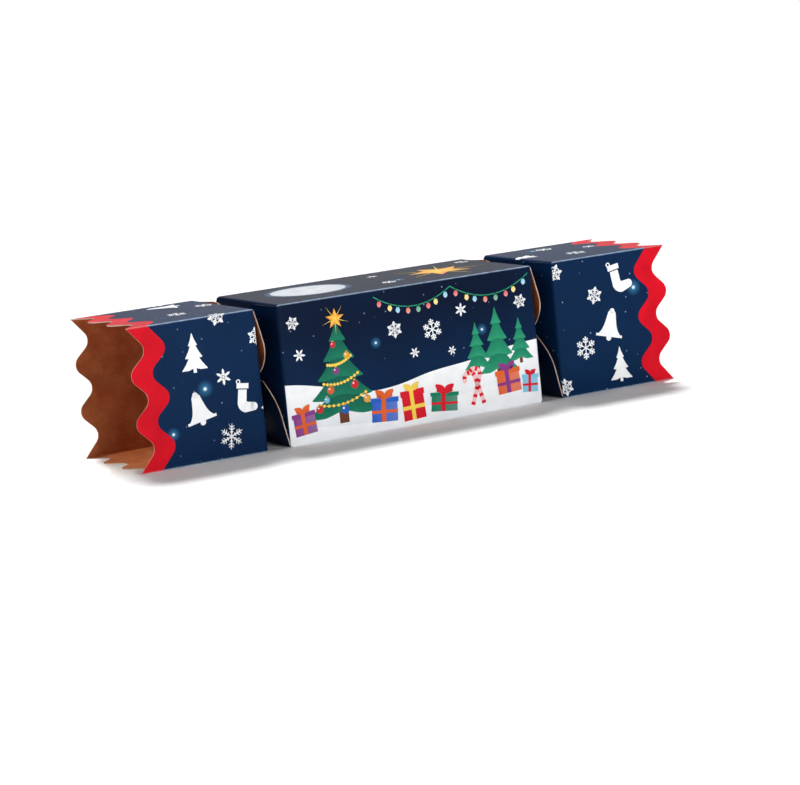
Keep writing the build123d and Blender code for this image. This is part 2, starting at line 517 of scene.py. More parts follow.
class Surfaces:
    """Collects grids of points into one mesh. Points closer than same_place become one, and an open mesh
    loses its faces below least_area. Millimetres."""

    same_place: float = 1e-4
    least_area: float = 1e-4

    def __init__(self, name: str) -> None:
        """Starts an empty mesh of that name."""
        self.name = name
        self.count = 0
        self.points: list[Array] = []
        self.grids: list[Array] = []
        self.faces: list[Array] = []
        self.finishes: list[Array] = []
        self.attributes: dict[str, list[Array]] = {"crease": [], "ink": []}

    def add(
        self,
        grid: Array,
        finish: int | Array = 0,
        closed: tuple[bool, bool] = (False, False),
        crease: Array | float = 0.0,
        ink: Array | Colour = (1.0, 1.0, 1.0, 1.0),
        axis_out: bool = False,
    ) -> None:
        """Adds a grid of quads.

        Args:
            grid: Points as rows x columns x 3, in millimetres.
            finish: Material number, one for all faces or one for each.
            closed: Whether rows and columns close round.
            crease: How much of each point lies on a crease.
            ink: Printed colour of the points.
            axis_out: Turns an open sheet's faces away from the cracker's long axis.
        """
        rows, cols = grid.shape[:2]
        index = np.arange(rows * cols).reshape(rows, cols) + self.count
        if closed[0]:
            index = np.vstack([index, index[:1]])
        if closed[1]:
            index = np.hstack([index, index[:, :1]])
        quads = np.stack([index[:-1, :-1], index[:-1, 1:], index[1:, 1:], index[1:, :-1]], axis=-1)
        face_rows, face_cols = quads.shape[:2]
        flat = grid.reshape(-1, 3)
        quads = quads.reshape(-1, 4)
        if axis_out:
            corner = flat[quads - self.count]
            normal = crossed(corner)
            outward = corner.mean(axis=1) - np.array([0.0, 0.0, TUBE.width / 2])
            outward[:, 0] = 0.0
            if np.sum(normal * outward) < 0:
                quads = quads[:, ::-1]
        self.grids.append(np.full(len(flat), len(self.points)))
        self.points.append(flat)
        self.faces.append(quads)
        self.finishes.append(np.broadcast_to(finish, (face_rows, face_cols)).ravel())
        self.attributes["crease"].append(np.broadcast_to(crease, (rows, cols)).ravel())
        self.attributes["ink"].append(np.broadcast_to(ink, (rows, cols, 4)).reshape(-1, 4))
        self.count += rows * cols

    def joined(self, solid: bool) -> tuple[Array, Array, Array, Array]:
        """Makes one point of those at the same place, and drops the faces and corners that this closes up.

        Args:
            solid: Whether points of different grids are joined too.

        Returns:
            The index of each kept point, the corners of all faces in a row, the corner count of each face,
            and the index of each kept face.
        """
        places = np.round(np.concatenate(self.points) / self.same_place).astype(np.int64)
        if not solid:
            places = np.column_stack([places, np.concatenate(self.grids)])
        _, kept, merged = np.unique(places, axis=0, return_index=True, return_inverse=True)
        faces = merged.reshape(-1)[np.concatenate(self.faces)]
        corners = faces != np.roll(faces, -1, axis=1)
        corner = np.concatenate(self.points)[kept][faces]
        area = np.linalg.norm(crossed(corner), axis=1) / 2
        whole = np.flatnonzero((corners.sum(axis=1) > 2) & (solid | (area > self.least_area)))
        faces, corners = faces[whole], corners[whole]
        return kept, faces[corners], corners.sum(axis=1), whole

    def build(self, materials: list[Material], solid: bool = True, sharp: float = 40.0) -> Piece:
        """Makes the object, with its place in its mesh.

        Args:
            materials: Materials by number.
            solid: Whether the mesh is closed, so that its faces are turned outwards.
            sharp: Angle between faces, in degrees, past which an edge stays sharp.

        Returns:
            The new object, linked to the scene.
        """
        if solid:
            corner = np.concatenate(self.points)[np.concatenate(self.faces)]
            volume = np.sum(crossed(corner) * corner[:, 0])
            if volume < 0:
                self.faces = [group[:, ::-1] for group in self.faces]
        kept, loops, corners, whole = self.joined(solid)
        mesh = bpy.data.meshes.new(self.name)
        mesh.vertices.add(len(kept))
        points = np.concatenate(self.points)[kept] * MM
        mesh.vertices.foreach_set("co", points.astype(np.float32).ravel())
        mesh.loops.add(len(loops))
        mesh.loops.foreach_set("vertex_index", loops.astype(np.int32))
        mesh.polygons.add(len(corners))
        starts = np.cumsum(corners) - corners
        mesh.polygons.foreach_set("loop_start", starts.astype(np.int32))
        mesh.polygons.foreach_set("loop_total", corners.astype(np.int32))
        mesh.polygons.foreach_set("material_index", np.concatenate(self.finishes)[whole].astype(np.int32))
        crease = np.concatenate(self.attributes["crease"])[kept].astype(np.float32)
        mesh.attributes.new("crease", "FLOAT", "POINT").data.foreach_set("value", crease)
        ink = np.concatenate(self.attributes["ink"])[kept].astype(np.float32)
        mesh.attributes.new("ink", "FLOAT_COLOR", "POINT").data.foreach_set("color", ink.ravel())
        for material in materials:
            mesh.materials.append(material)
        mesh.update(calc_edges=True)
        mesh.validate()
        mesh.shade_smooth()
        mesh.set_sharp_from_angle(angle=math.radians(sharp))
        made = bpy.data.objects.new(self.name, mesh)
        bpy.context.scene.collection.objects.link(made)
        return made


@dataclass(frozen=True)
class BoardTube:
    """The square tube of folded board that all three sections share. Millimetres.

    A place on it is x along the cracker and a distance round it: up the front from its lower edge,
    back across the top, down the back and forward along the bottom.
    """

    width: float
    board: float
    centre_end: float
    sleeve_in: float
    sleeve_tip: float
    corner_round: float = 0.7
    least_round: float = 0.12
    crease_round: float = 2.4
    crease_wide: float = 0.4
    bow: float = 0.22

    def round_stops(self, plain: int) -> Array:
        """Distances round the tube, closer together beside the four corner creases.

        Args:
            plain: Even steps between the stops beside the corners.

        Returns:
            Increasing distances for one whole turn.
        """
        near = np.array([0.0, 0.25, 0.5, 0.7, 1.0, 1.4, 2.0])
        middle = np.linspace(near[-1], self.width - near[-1], plain + 1)[1:-1]
        side = np.concatenate([near, middle, self.width - near[:0:-1]])
        return (side[None, :] + self.width * np.arange(4)[:, None]).ravel()

    def across(self, around: Array) -> Array:
        """How far a place lies from the middle of its own side."""
        return np.mod(around, self.width) - self.width / 2

    def corner_distance(self, around: Array) -> Array:
        """How far a place lies from the nearest corner crease."""
        return self.width / 2 - np.abs(self.across(around))

    def crease(self, around: Array) -> Array:
        """Crease values that fall off as a bell curve with the distance from the nearest corner crease."""
        return np.exp(-((self.corner_distance(around) / self.crease_wide) ** 2))

    def side_of(self, around: Array) -> Array:
        """The number of the side that a place lies on, from 0 for the front to 3 for the bottom."""
        return np.mod(np.floor_divide(around, self.width), 4).astype(int)

    def bulge(self, x: Array, around: Array, ends: Flat) -> Array:
        """How far a panel bows out: a half sine each way, and nothing on the side that lies on the table.

        Args:
            x: Places along the cracker.
            around: Distances round the tube.
            ends: Where the panel's flat starts and ends along the cracker.

        Returns:
            Distances out from the flat.
        """
        middle, half = sum(ends) / 2, abs(ends[1] - ends[0]) / 2
        along = np.clip((x - middle) / half, -1, 1)
        shape = np.cos(along * math.pi / 2) * np.cos(self.across(around) / self.width * math.pi)
        return np.where(self.side_of(around) == SIDES.index("bottom"), 0.0, self.bow * shape)

    def on_side(self, side: Array | int, x: Array, along: Array, out: Array) -> Array:
        """Turns places on a side into points.

        Args:
            side: Numbers of the sides.
            x: Places along the cracker.
            along: Distances from the middle of the side, the way round the tube runs.
            out: Distances from the tube's axis.

        Returns:
            Points, with a last axis of 3.
        """
        run = np.array([[0, 1], [1, 0], [0, -1], [-1, 0]])[side]
        y = along * run[..., 0] - out * run[..., 1]
        z = along * run[..., 1] + out * run[..., 0] + self.width / 2
        return stacked(x, y, z)

    def point(self, x: Array, around: Array, inset: Array | float) -> Array:
        """A point at an inset below the outer face: a square with its corners rounded by quarter turns.

        Args:
            x: Places along the cracker.
            around: Distances round the tube.
            inset: Depth below the outer face.

        Returns:
            Points, with a last axis of 3.
        """
        x, around, inset = np.broadcast_arrays(x, around, inset)
        across = self.across(around)
        radius = np.maximum(self.corner_round - inset, self.least_round)
        flat = self.width / 2 - inset - radius
        past = np.clip((np.abs(across) - self.width / 2 + self.corner_round) / self.corner_round, 0, 1)
        turn = past * math.pi / 4
        straight = np.clip(np.abs(across) / (self.width / 2 - self.corner_round), 0, 1) * flat
        along = np.sign(across) * (straight + radius * np.sin(turn))
        out = self.width / 2 - inset - radius * (1 - np.cos(turn))
        return self.on_side(self.side_of(around), x, along, out)


def tube_from_frame() -> BoardTube:
    """Reads the tube's sizes from the CAD nodes."""
    low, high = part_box("centre_front_panel")
    sleeve_low, sleeve_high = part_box("right_front_panel")
    glue_low, glue_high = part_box("centre_glue_flap")
    return BoardTube(
        width=(high.z - low.z) / MM,
        board=(glue_high.y - glue_low.y) / MM,
        centre_end=high.x / MM,
        sleeve_in=sleeve_low.x / MM,
        sleeve_tip=sleeve_high.x / MM,
    )


TUBE = tube_from_frame()


class BoardFinish(IntEnum):
    """Material numbers on a folded board piece."""

    SKY = 0
    BAND = 1
    KRAFT = 2
    EDGE = 3


@dataclass(frozen=True)
class NeckShape:
    """The flaps of one neck, as flat outlines on a lean. Millimetres."""

    fold_to_axis: float = 2.0
    crease_gap: float = 0.5
    valley_gap: float = 0.3
    mitre_room: float = 0.7
    overlap_straight: float = 16.0
    overlap_inset: float = 13.0
    edge_clear: float = 0.3
    seam: float = 0.03
    spring: float = 1.3
    rows: int = 30
    crowding: float = 1.9

    @property
    def half_gap(self) -> float:
        """Half the width of the neck."""
        return (TUBE.sleeve_in - TUBE.centre_end) / 2

    @property
    def depth(self) -> float:
        """How deep the valley fold lies below the middle of the board."""
        return TUBE.width / 2 - TUBE.board / 2 - self.fold_to_axis

    @property
    def lean(self) -> float:
        """Angle between a panel and its flap."""
        return math.atan2(self.depth, self.half_gap)

    @property
    def reach(self) -> float:
        """Length of a flap from its crease to the valley."""
        return math.hypot(self.depth, self.half_gap)

    @property
    def arc_start(self) -> float:
        """Where the rounded crease starts, past the end of the panel."""
        half = TUBE.board / 2
        offset = half * math.sin(self.lean) + half * (1 - math.cos(self.lean)) / math.tan(self.lean)
        return offset - TUBE.crease_round * math.tan(self.lean / 2)

    @property
    def centre_flat(self) -> float:
        """Where the flat of the centre box ends."""
        return TUBE.centre_end + self.arc_start

    def half_fold(self, steps: int) -> tuple[Array, Array]:
        """The panel's half of a rounded neck crease: an arc that starts level and turns in.

        Args:
            steps: Number of points on the arc.

        Returns:
            Distances past the start of the arc, and depths below the panel.
        """
        turn = np.linspace(0, self.lean / 2, steps)
        return TUBE.crease_round * np.sin(turn), TUBE.crease_round * (1 - np.cos(turn))

    def profile(self) -> tuple[Array, Array, Array, Array]:
        """A flap's outer face across its crease.

        The springy board bulges into the neck: its offset is 1 - (1 - depth) ^ spring of the half gap, and
        close to the crease it bends out of the panel's rounded end by a fading exponential.

        Returns:
            Offsets past the panel's end, depths below the panel, and the outward direction at each.
        """
        start = self.lean / 2
        first_x = self.arc_start + TUBE.crease_round * math.sin(start)
        first_z = TUBE.crease_round * (1 - math.cos(start))
        stop = self.half_gap - self.valley_gap / 2
        first = first_z + self.seam
        z = first + (self.depth - first) * np.linspace(0, 1, self.rows) ** self.crowding
        bulge = stop * (1 - (1 - z / self.depth) ** self.spring)
        slope = stop * self.spring / self.depth
        lag = first_x - bulge[0]
        fade = -lag / (1 / math.tan(start) - slope)
        x = bulge + lag * np.exp(-(z - first_z) / fade)
        along_x, along_z = np.gradient(x), np.gradient(z)
        length = np.hypot(along_x, along_z)
        return x, z, along_z / length, -along_x / length

    def edges(self, reach: Array) -> tuple[Array, Array]:
        """A flap's two side edges: a mitre clear of the flap before, and a straight run that curls in.

        Args:
            reach: Distances from the crease.

        Returns:
            The mitred edge and the overlapping edge, across the flap.
        """
        half = TUBE.width / 2
        full = self.reach + TUBE.board
        clear = TUBE.board * self.reach / self.half_gap + self.mitre_room
        mitre = np.maximum(reach, self.crease_gap) + clear - half
        base = half - TUBE.board - self.edge_clear
        turn_x, turn_y = self.overlap_straight, half - self.edge_clear
        level = base + (turn_y - base) * reach / turn_x
        slope = (turn_y - base) / (turn_x - self.crease_gap)
        bend = (half - self.overlap_inset - turn_y - slope * (full - turn_x)) / (full - turn_x) ** 2
        past = np.maximum(reach - turn_x, 0)
        curl = turn_y + slope * past + bend * past ** 2
        return mitre, np.where(reach < turn_x, level, curl)


NECK = NeckShape()


@dataclass(frozen=True)
class FoldedSection:
    """One section of the tube: a closed shell of board with a printed outside and a kraft inside."""

    body: str
    nodes: list[str]
    ends: Flat
    band_strips: int = 0

    def dress(self, x: Array, dip: Array, around: Array, materials: list[Material]) -> Piece:
        """Closes an outer and an inner face into one shell, and ties it to its body and nodes.

        Args:
            x: Places along the cracker, as columns x stops round the tube.
            dip: Depth of each column below the flat of the panels.
            around: Distances round the tube.
            materials: Materials by number.

        Returns:
            The piece.
        """
        inset = dip[:, None] - TUBE.bulge(x, around, self.ends)
        outer = TUBE.point(x, around, inset)
        inner = TUBE.point(x, around, inset + TUBE.board)[::-1]
        mouth = BoardFinish.EDGE if self.band_strips else BoardFinish.SKY
        finishes = [BoardFinish.BAND, BoardFinish.SKY, BoardFinish.KRAFT, mouth]
        strips = np.repeat(finishes, [self.band_strips, len(x) - self.band_strips, len(x) - 1, 1])
        crease = np.broadcast_to(TUBE.crease(around), x.shape)
        surfaces = Surfaces(f"{self.body}_board")
        surfaces.add(
            np.concatenate([outer, inner]),
            strips[:, None],
            closed=(True, True),
            crease=np.concatenate([crease, np.zeros_like(crease)]),
        )
        piece = surfaces.build(materials)
        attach(piece, self.body)
        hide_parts(*self.nodes)
        return piece


@dataclass(frozen=True)
class CentreBox:
    """The middle section, closed by its neck flaps at both ends. Millimetres."""

    round_steps: int = 22
    along_steps: int = 30
    fold_steps: int = 5
    near_fold: tuple[float, ...] = (0.4, 0.9, 1.6, 2.6)

    def build(self, materials: list[Material]) -> Piece:
        """Makes the shell: straight panels whose ends turn in at the neck creases."""
        run, dip = NECK.half_fold(self.fold_steps)
        end = NECK.centre_flat
        near = np.array(self.near_fold)
        flat = np.linspace(-end + near[-1], end - near[-1], self.along_steps)
        x = np.concatenate([-end - run[::-1], -end + near[:-1], flat, end - near[-2::-1], end + run])
        inset = np.concatenate([dip[::-1], np.zeros(len(x) - 2 * len(dip)), dip])
        around = TUBE.round_stops(self.round_steps)
        columns = np.broadcast_to(x[:, None], (len(x), len(around)))
        section = FoldedSection("centre_box", [f"centre_{side}_panel" for side in SIDES], (-end, end))
        return section.dress(columns, inset, around, materials)


@dataclass(frozen=True)
class Sleeve:
    """An open end: straight at the neck, cut in waves at the mouth, with a red band along the waves."""

    end: str
    waves: int = 3
    wave_depth: float = 10.0
    wave_crest: float = 2.1
    wave_round: float = 5.5
    band: float = 10.9
    band_stops: tuple[float, ...] = (0.0, 0.4, 1.2, 4.0, 8.0)
    near_fold: tuple[float, ...] = (2.6, 1.6, 0.9, 0.4)
    fold_steps: int = 5
    round_steps: int = 84
    along_steps: int = 14
    crowding: float = 1.6

    @property
    def ends(self) -> Flat:
        """Where its flat starts, at the neck, and ends along the cracker."""
        sign = ENDS[self.end]
        return sign * (TUBE.sleeve_in - NECK.arc_start), sign * TUBE.sleeve_tip

    def wave(self, across: Array) -> Array:
        """How far the cut lies in from the corner tips: a zigzag whose inner corners are rounded by arcs.

        An arc's centre lies where its two runs, both moved over by the radius, cross.

        Args:
            across: Distances from the middle of the side.

        Returns:
            Distances in from the corner tips.
        """
        stops = np.linspace(0, TUBE.width, 2 * self.waves + 1)
        levels = np.where(np.arange(len(stops)) % 2, self.wave_depth, -self.wave_crest)
        levels[[0, -1]] = 0.0
        slopes = np.diff(levels) / np.diff(stops)
        place = across + TUBE.width / 2
        cut = np.interp(place, stops, levels)
        for i in range(1, len(stops) - 1):
            side = 1 if i % 2 else -1
            before, after = side * slopes[i - 1], side * slopes[i]
            stretch, stretch_after = math.hypot(1, before), math.hypot(1, after)
            shift = self.wave_round * (stretch - stretch_after) / (before - after)
            centre = stops[i] + shift
            level = side * levels[i] + before * shift - self.wave_round * stretch
            arc_level = level + np.sqrt(np.maximum(self.wave_round ** 2 - (place - centre) ** 2, 0))
            first = centre - self.wave_round * before / stretch
            last = centre - self.wave_round * after / stretch_after
            cut = np.where((place > first) & (place < last), side * arc_level, cut)
        return cut

    def build(self, materials: list[Material]) -> Piece:
        """Makes the shell: columns follow the wave through the band, then straighten to the neck crease."""
        around = TUBE.round_stops(self.round_steps)
        cut = self.wave(TUBE.across(around))
        band = np.array([*self.band_stops, self.band])
        run, dip = NECK.half_fold(self.fold_steps)
        neck = TUBE.sleeve_tip - TUBE.sleeve_in + NECK.arc_start
        first, *near = neck - np.array(self.near_fold)
        share = 1 - np.linspace(1, 0, self.along_steps)[1:, None] ** self.crowding
        start = cut + self.band
        even = np.concatenate([near, neck + run])
        in_from_tip = np.concatenate([
            cut + band[:, None],
            start + share * (first - start),
            np.broadcast_to(even[:, None], (len(even), len(around))),
        ])
        inset = np.zeros(len(in_from_tip))
        inset[-len(dip):] = dip
        x = ENDS[self.end] * (TUBE.sleeve_tip - in_from_tip)
        nodes = [f"{self.end}_{side}_panel" for side in SIDES]
        section = FoldedSection(f"{self.end}_sleeve", nodes, self.ends, len(band) - 1)
        return section.dress(x, inset, around, materials)


@dataclass(frozen=True)
class NeckFlap:
    """One flap of a pinched neck, on its crease beside the centre box or beside a sleeve."""

    end: str
    side: str
    place: str
    columns: int = 25
    closed_corner: float = 19.0

    @property
    def towards(self) -> int:
        """Which way along the cracker the flap leans."""
        return ENDS[self.end] if self.place == "inner" else -ENDS[self.end]

    def in_frame(self, offset: Array, across: Array, depth: Array) -> Array:
        """Puts flap coordinates on its side of the cracker.

        Args:
            offset: Distances from the panel's end, the way the flap leans.
            across: Distances across the side, positive at the wide edge.
            depth: Depths below the panel's outer face.

        Returns:
            Points, with a last axis of 3.
        """
        crease = ENDS[self.end] * (TUBE.centre_end if self.place == "inner" else TUBE.sleeve_in)
        x = crease + self.towards * offset
        return TUBE.on_side(SIDES.index(self.side), x, -self.towards * across, TUBE.width / 2 - depth)

    def build(self, materials: list[Material]) -> Piece:
        """Makes the flap: an outer and an inner face carried across between its two edges."""
        offset, depth, out_x, out_z = NECK.profile()
        reach = np.maximum(depth / math.sin(NECK.lean), 0)
        low, high = NECK.edges(reach)
        across = low[:, None] + (high - low)[:, None] * np.linspace(0, 1, self.columns)
        outer = self.in_frame(offset[:, None], across, depth[:, None])
        thick = TUBE.board
        inner = self.in_frame((offset - thick * out_x)[:, None], across, (depth - thick * out_z)[:, None])
        loop = np.concatenate([outer, inner[:, ::-1]], axis=1)
        strips = np.full((len(loop) - 1, loop.shape[1]), BoardFinish.SKY)
        covered = self.closed_corner if self.side in ("front", "back") else 0.0
        strips[reach[1:] > covered, self.columns - 1] = BoardFinish.EDGE
        strips[:, self.columns:-1] = BoardFinish.KRAFT
        body = f"{self.end}_neck_{self.side}_{self.place}"
        surfaces = Surfaces(f"{body}_card")
        surfaces.add(loop, strips, closed=(False, True))
        for row, finish in ((0, BoardFinish.SKY), (-1, BoardFinish.EDGE)):
            surfaces.add(np.stack([outer[row], inner[row]]), finish)
        piece = surfaces.build(materials)
        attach(piece, body)
        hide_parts(f"{body}_flap")
        return piece


def straight(start: Flat, end: Flat, steps: int = 2) -> Array:
    """Evenly spaced points from start to end."""
    share = np.linspace(0, 1, steps)[:, None]
    return np.array(start) * (1 - share) + np.array(end) * share


def arc(centre: Flat, radius: float, start: float, end: float, steps: int = 16) -> Array:
    """Points on a circle between two angles in degrees."""
    angle = np.radians(np.linspace(start, end, steps))
    return np.array(centre) + radius * np.stack([np.cos(angle), np.sin(angle)], axis=-1)


def ribbon(path: Array, width: Array | float) -> Array:
    """A band carried along a path: each point is moved half the width to both sides of the path.

    Args:
        path: Points as n x 2.
        width: Band width, one for all points or one for each.

    Returns:
        A grid of n x 2 points.
    """
    run = np.gradient(path, axis=0)
    run = run / np.linalg.norm(run, axis=1, keepdims=True)
    side = np.stack([-run[:, 1], run[:, 0]], axis=-1) * (np.broadcast_to(width, len(path)) / 2)[:, None]
    return np.stack([path + side, path - side], axis=1)


def bar(start: Flat, end: Flat, width: Array | float, steps: int = 2) -> Array:
    """A straight band from start to end."""
    return ribbon(straight(start, end, steps), width)


def fan(outline: Array, centre: Flat = (0.0, 0.0), rows: int = 3) -> Array:
    """A filled outline: rings that shrink from it to a centre.

    Args:
        outline: Closed outline as n x 2, with its last point equal to its first.
        centre: A point that sees the whole outline.
        rows: Number of rings.

    Returns:
        A grid of rows x n points.
    """
    share = np.linspace(0, 1, rows)[:, None, None]
    return np.array(centre) * (1 - share) + outline[None] * share


def disc(radius: float, centre: Flat = (0.0, 0.0), rows: int = 3, steps: int = 29) -> Array:
    """A filled circle."""
    return fan(arc(centre, radius, 0, 360, steps), centre, rows)


def between(left: Array, right: Array, steps: int = 5) -> Array:
    """A sheet between two edge curves of n points each."""
    share = np.linspace(0, 1, steps)[None, :, None]
    return left[:, None] * (1 - share) + right[:, None] * share


def turned(grid: Array, degrees: float) -> Array:
    """A flat grid turned about the origin."""
    angle = math.radians(degrees)
    turn = np.array([[math.cos(angle), math.sin(angle)], [-math.sin(angle), math.cos(angle)]])
    return grid @ turn


def refined(grid: Array, times: int) -> Array:
    """The same sheet with each step between its rows and columns cut into smaller even steps."""
    for axis in (0, 1):
        last = grid.shape[axis] - 1
        at = np.linspace(0, last, last * times + 1)
        low = np.minimum(at.astype(int), last - 1)
        share = (at - low).reshape((-1, 1, 1) if axis == 0 else (1, -1, 1))
        grid = np.take(grid, low, axis) * (1 - share) + np.take(grid, low + 1, axis) * share
    return grid


@dataclass(frozen=True)
class Stroke:
    """One printed area: a flat grid in millimetres, its ink, and how many areas lie under it."""

    grid: Array
    ink: Ink | Array
    layer: int = 0


Motif = list[Stroke]


def shaded(grid: Array, first: Ink, second: Ink, share: Array) -> Array:
    """Ink that runs from one colour to another.

    Args:
        grid: The area, as rows x columns x 2.
        first: Ink where the share is 0.
        second: Ink where the share is 1.
        share: Shares in a shape that spreads over rows x columns.

    Returns:
        Colours as rows x columns x 4.
    """
    share = np.broadcast_to(share, grid.shape[:2])[..., None]
    return np.array(first.light) * (1 - share) + np.array(second.light) * share


class Snowflake(Enum):
    """The cuts of printed snowflake."""

    FERN = "fern"
    LACE = "lace"
    DENDRITE = "dendrite"
    SPRIG = "sprig"

    def arm(self) -> list[Array]:
        """One arm of a flake of radius 1, along +x."""
        sides = (-1, 1)
        if self is Snowflake.FERN:
            stem = [bar((0.0, 0), (0.9, 0), 0.1), disc(0.085, (0.92, 0), 2)]
            for at, length in ((0.46, 0.2), (0.68, 0.19)):
                for side in sides:
                    tip = (at + 0.62 * length, side * length)
                    stem += [bar((at, 0), tip, 0.12), disc(0.075, tip, 2)]
            return stem
        if self is Snowflake.LACE:
            point = np.array([[0.58, 0], [0.72, -0.2], [1.0, 0], [0.72, 0.2], [0.58, 0]])
            lace = [fan(point, (0.74, 0), 2), bar((0.0, 0), (0.62, 0), 0.09)]
            lace += [bar((0.42, 0), (0.62, side * 0.3), 0.09) for side in sides]
            lace += [bar((0.3, side * 0.17), (0.3, 0), 0.09) for side in sides]
            return [*lace, bar((0.3, 0.173), (0.0, 0.346), 0.08), bar((0.6, 0.346), (0.0, 0.69), 0.06)]
        if self is Snowflake.DENDRITE:
            branch = [bar((0.0, 0), (1.0, 0), np.array([0.1, 0.1, 0.1, 0.08, 0.03]), 5)]
            for at, length in ((0.3, 0.14), (0.5, 0.25), (0.7, 0.2)):
                for side in sides:
                    tip = (at + 0.6 * length, side * length)
                    branch.append(bar((at, 0), tip, np.array([0.08, 0.08, 0.04]), 3))
            return branch
        leaf = bar((0.3, 0), (1.0, 0), 0.3 * np.sin(np.linspace(0.2, math.pi, 9)) + 0.02, 9)
        twigs = [bar((0.2, 0), (0.4, side * 0.2), 0.09) for side in sides]
        return [leaf, bar((0.0, 0), (0.4, 0), 0.08), *twigs]

    def motif(self) -> Motif:
        """The whole flake: its arm, six times."""
        heart = disc(0.11, rows=2)
        arms = [turned(grid, 60 * k) for k in range(6) for grid in self.arm()]
        return [Stroke(grid, Ink.WHITE) for grid in [heart, *arms]]


FERN, LACE, DENDRITE, SPRIG = Snowflake
PlacedFlake = tuple[Snowflake, float, float, float]


def fir(height: float, width: float, tiers: int, light: Ink, dark: Ink, layer: int = 0) -> Motif:
    """A fir tree standing on the origin: tiers that narrow upwards, darker below each skirt.

    Args:
        height: Height with its trunk.
        width: Width of the lowest tier.
        tiers: Number of tiers.
        light: Ink of the skirts' tips.
        dark: Ink under the skirts.
        layer: How many areas lie under it.

    Returns:
        The motif.
    """
    trunk = 0.1 * height
    within = np.tile(np.array([0.0, 0.08, 0.3, 0.6, 0.999]), tiers)
    tier = np.repeat(np.arange(tiers), 5)
    up = (tier + within) / tiers
    half = width / 2 * (1 - up * 0.97) * (1 - 0.42 * within) * np.where(within == 0, 0.93, 1.0)
    rise = trunk + up * (height - trunk)
    share = np.linspace(-1, 1, 13)
    skirt = 0.05 * height * (1 - within)[:, None] * np.cos(share * math.pi * 2)[None, :] * (1 - up)[:, None]
    droop = -0.05 * height * (share ** 2)[None, :] * (1 - up)[:, None]
    grid = stacked(half[:, None] * share, rise[:, None] + skirt * 0.35 + droop)
    ink = shaded(grid, light, dark, (within ** 0.7)[:, None] * 0.9 + 0.1 * np.abs(share)[None, :])
    post, side = straight((0, 0), (0, trunk * 1.4)), np.array([0.06 * width, 0])
    bark = Ink.WHITE if light is Ink.WHITE else Ink.BROWN
    return [Stroke(between(post - side, post + side), bark, layer), Stroke(grid, ink, layer + 1)]


def bell(height: float, ink: Ink) -> Motif:
    """A bell hanging down from the origin: a smooth flare, a clapper and a loop."""
    share = np.linspace(0, 1, 17)
    half = height * (0.16 + 0.1 * np.sin(share * math.pi * 0.5) + 0.22 * share ** 4)
    down = -height * (0.1 + 0.72 * share)
    body = between(stacked(-half, down), stacked(half, down))
    rim = bar((-half[-1] * 1.08, down[-1]), (half[-1] * 1.08, down[-1]), 0.09 * height)
    cap = fan(np.vstack([arc((0, down[0]), half[0], 0, 180), [[half[0], down[0]]]]), (0, down[0]))
    loop = ribbon(arc((0, 0.02 * height), 0.07 * height, -90, 270, 20), 0.05 * height)
    clapper = disc(0.1 * height, (0, down[-1] - 0.08 * height))
    return [Stroke(grid, ink) for grid in (body, rim, cap, loop, clapper)]


def stocking(height: float, ink: Ink) -> Motif:
    """A stocking hanging down from the origin: a wide band that turns from the leg into the foot."""
    bend = 0.16 * height
    path = np.vstack([
        straight((0, -0.22 * height), (0, -0.62 * height), 6),
        arc((bend, -0.62 * height), bend, 190, 265, 9),
        straight((bend + 0.06 * height, -0.62 * height - bend), (0.42 * height, -0.6 * height - bend), 5),
    ])
    leg, ankle, sole = np.linspace(0.3, 0.31, 6), np.linspace(0.32, 0.36, 9), np.linspace(0.32, 0.27, 5)
    foot = ribbon(path, np.concatenate([leg, ankle, sole]) * height)
    toe = disc(0.135 * height, (0.42 * height, -0.6 * height - bend))
    cuff = bar((-0.21 * height, -0.1 * height), (0.21 * height, -0.1 * height), 0.17 * height)
    loop = ribbon(arc((-0.16 * height, 0.03 * height), 0.06 * height, -60, 240, 14), 0.035 * height)
    return [Stroke(grid, ink) for grid in (foot, toe, cuff, loop)]


def gift(width: float, height: float, paper: Ink, tie: Ink, layer: int = 2) -> Motif:
    """A wrapped box standing on the origin, with a cross of ribbon, a darker side and a bow."""
    half = width / 2
    left = straight((-half, 0), (-half * 0.96, height), 6)
    right = straight((half, 0), (half * 0.96, height), 6)
    sheet = between(left, right, 9)
    dark = Ink.DEEP_RED if paper is Ink.RED else Ink.SNOW_SHADE
    tone = shaded(sheet, paper, dark, np.linspace(0.0, 0.16, 9)[None, :])
    lid = bar((-half * 1.07, height * 0.9), (half * 1.07, height * 0.9), height * 0.2)
    upright = bar((-width * 0.04, 0), (-width * 0.04, height), width * 0.17)
    level = bar((-half, height * 0.42), (half, height * 0.42), height * 0.13)
    strokes = [Stroke(sheet, tone, layer), Stroke(lid, paper, layer + 1)]
    strokes += [Stroke(grid, tie, layer + 2) for grid in (upright, level)]
    for side in (-1, 1):
        loop = bow_loop(width * 0.34, side) + np.array([0, height])
        tail = bar((0, height), (side * width * 0.3, height * 1.02 + width * 0.05), width * 0.09, 4)
        strokes += [Stroke(loop, tie, layer + 2), Stroke(tail, tie, layer + 2)]
    strokes.append(Stroke(disc(width * 0.09, (0, height * 1.02)), tie, layer + 3))
    return strokes


def bow_loop(length: float, side: int) -> Array:
    """One loop of a bow from the origin: a drop that swells along its length."""
    share = np.linspace(0, 1, 12)
    path = stacked(side * length * share, length * (0.75 * share))
    return ribbon(path, length * (0.16 + 0.62 * np.sin(share ** 0.8 * math.pi)))


def hung(motif: Motif, x: float, y: float, layers: int = 2) -> Motif:
    """A motif moved by x and y onto another, over more layers of ink."""
    return [Stroke(part.grid + np.array([x, y]), part.ink, part.layer + layers) for part in motif]


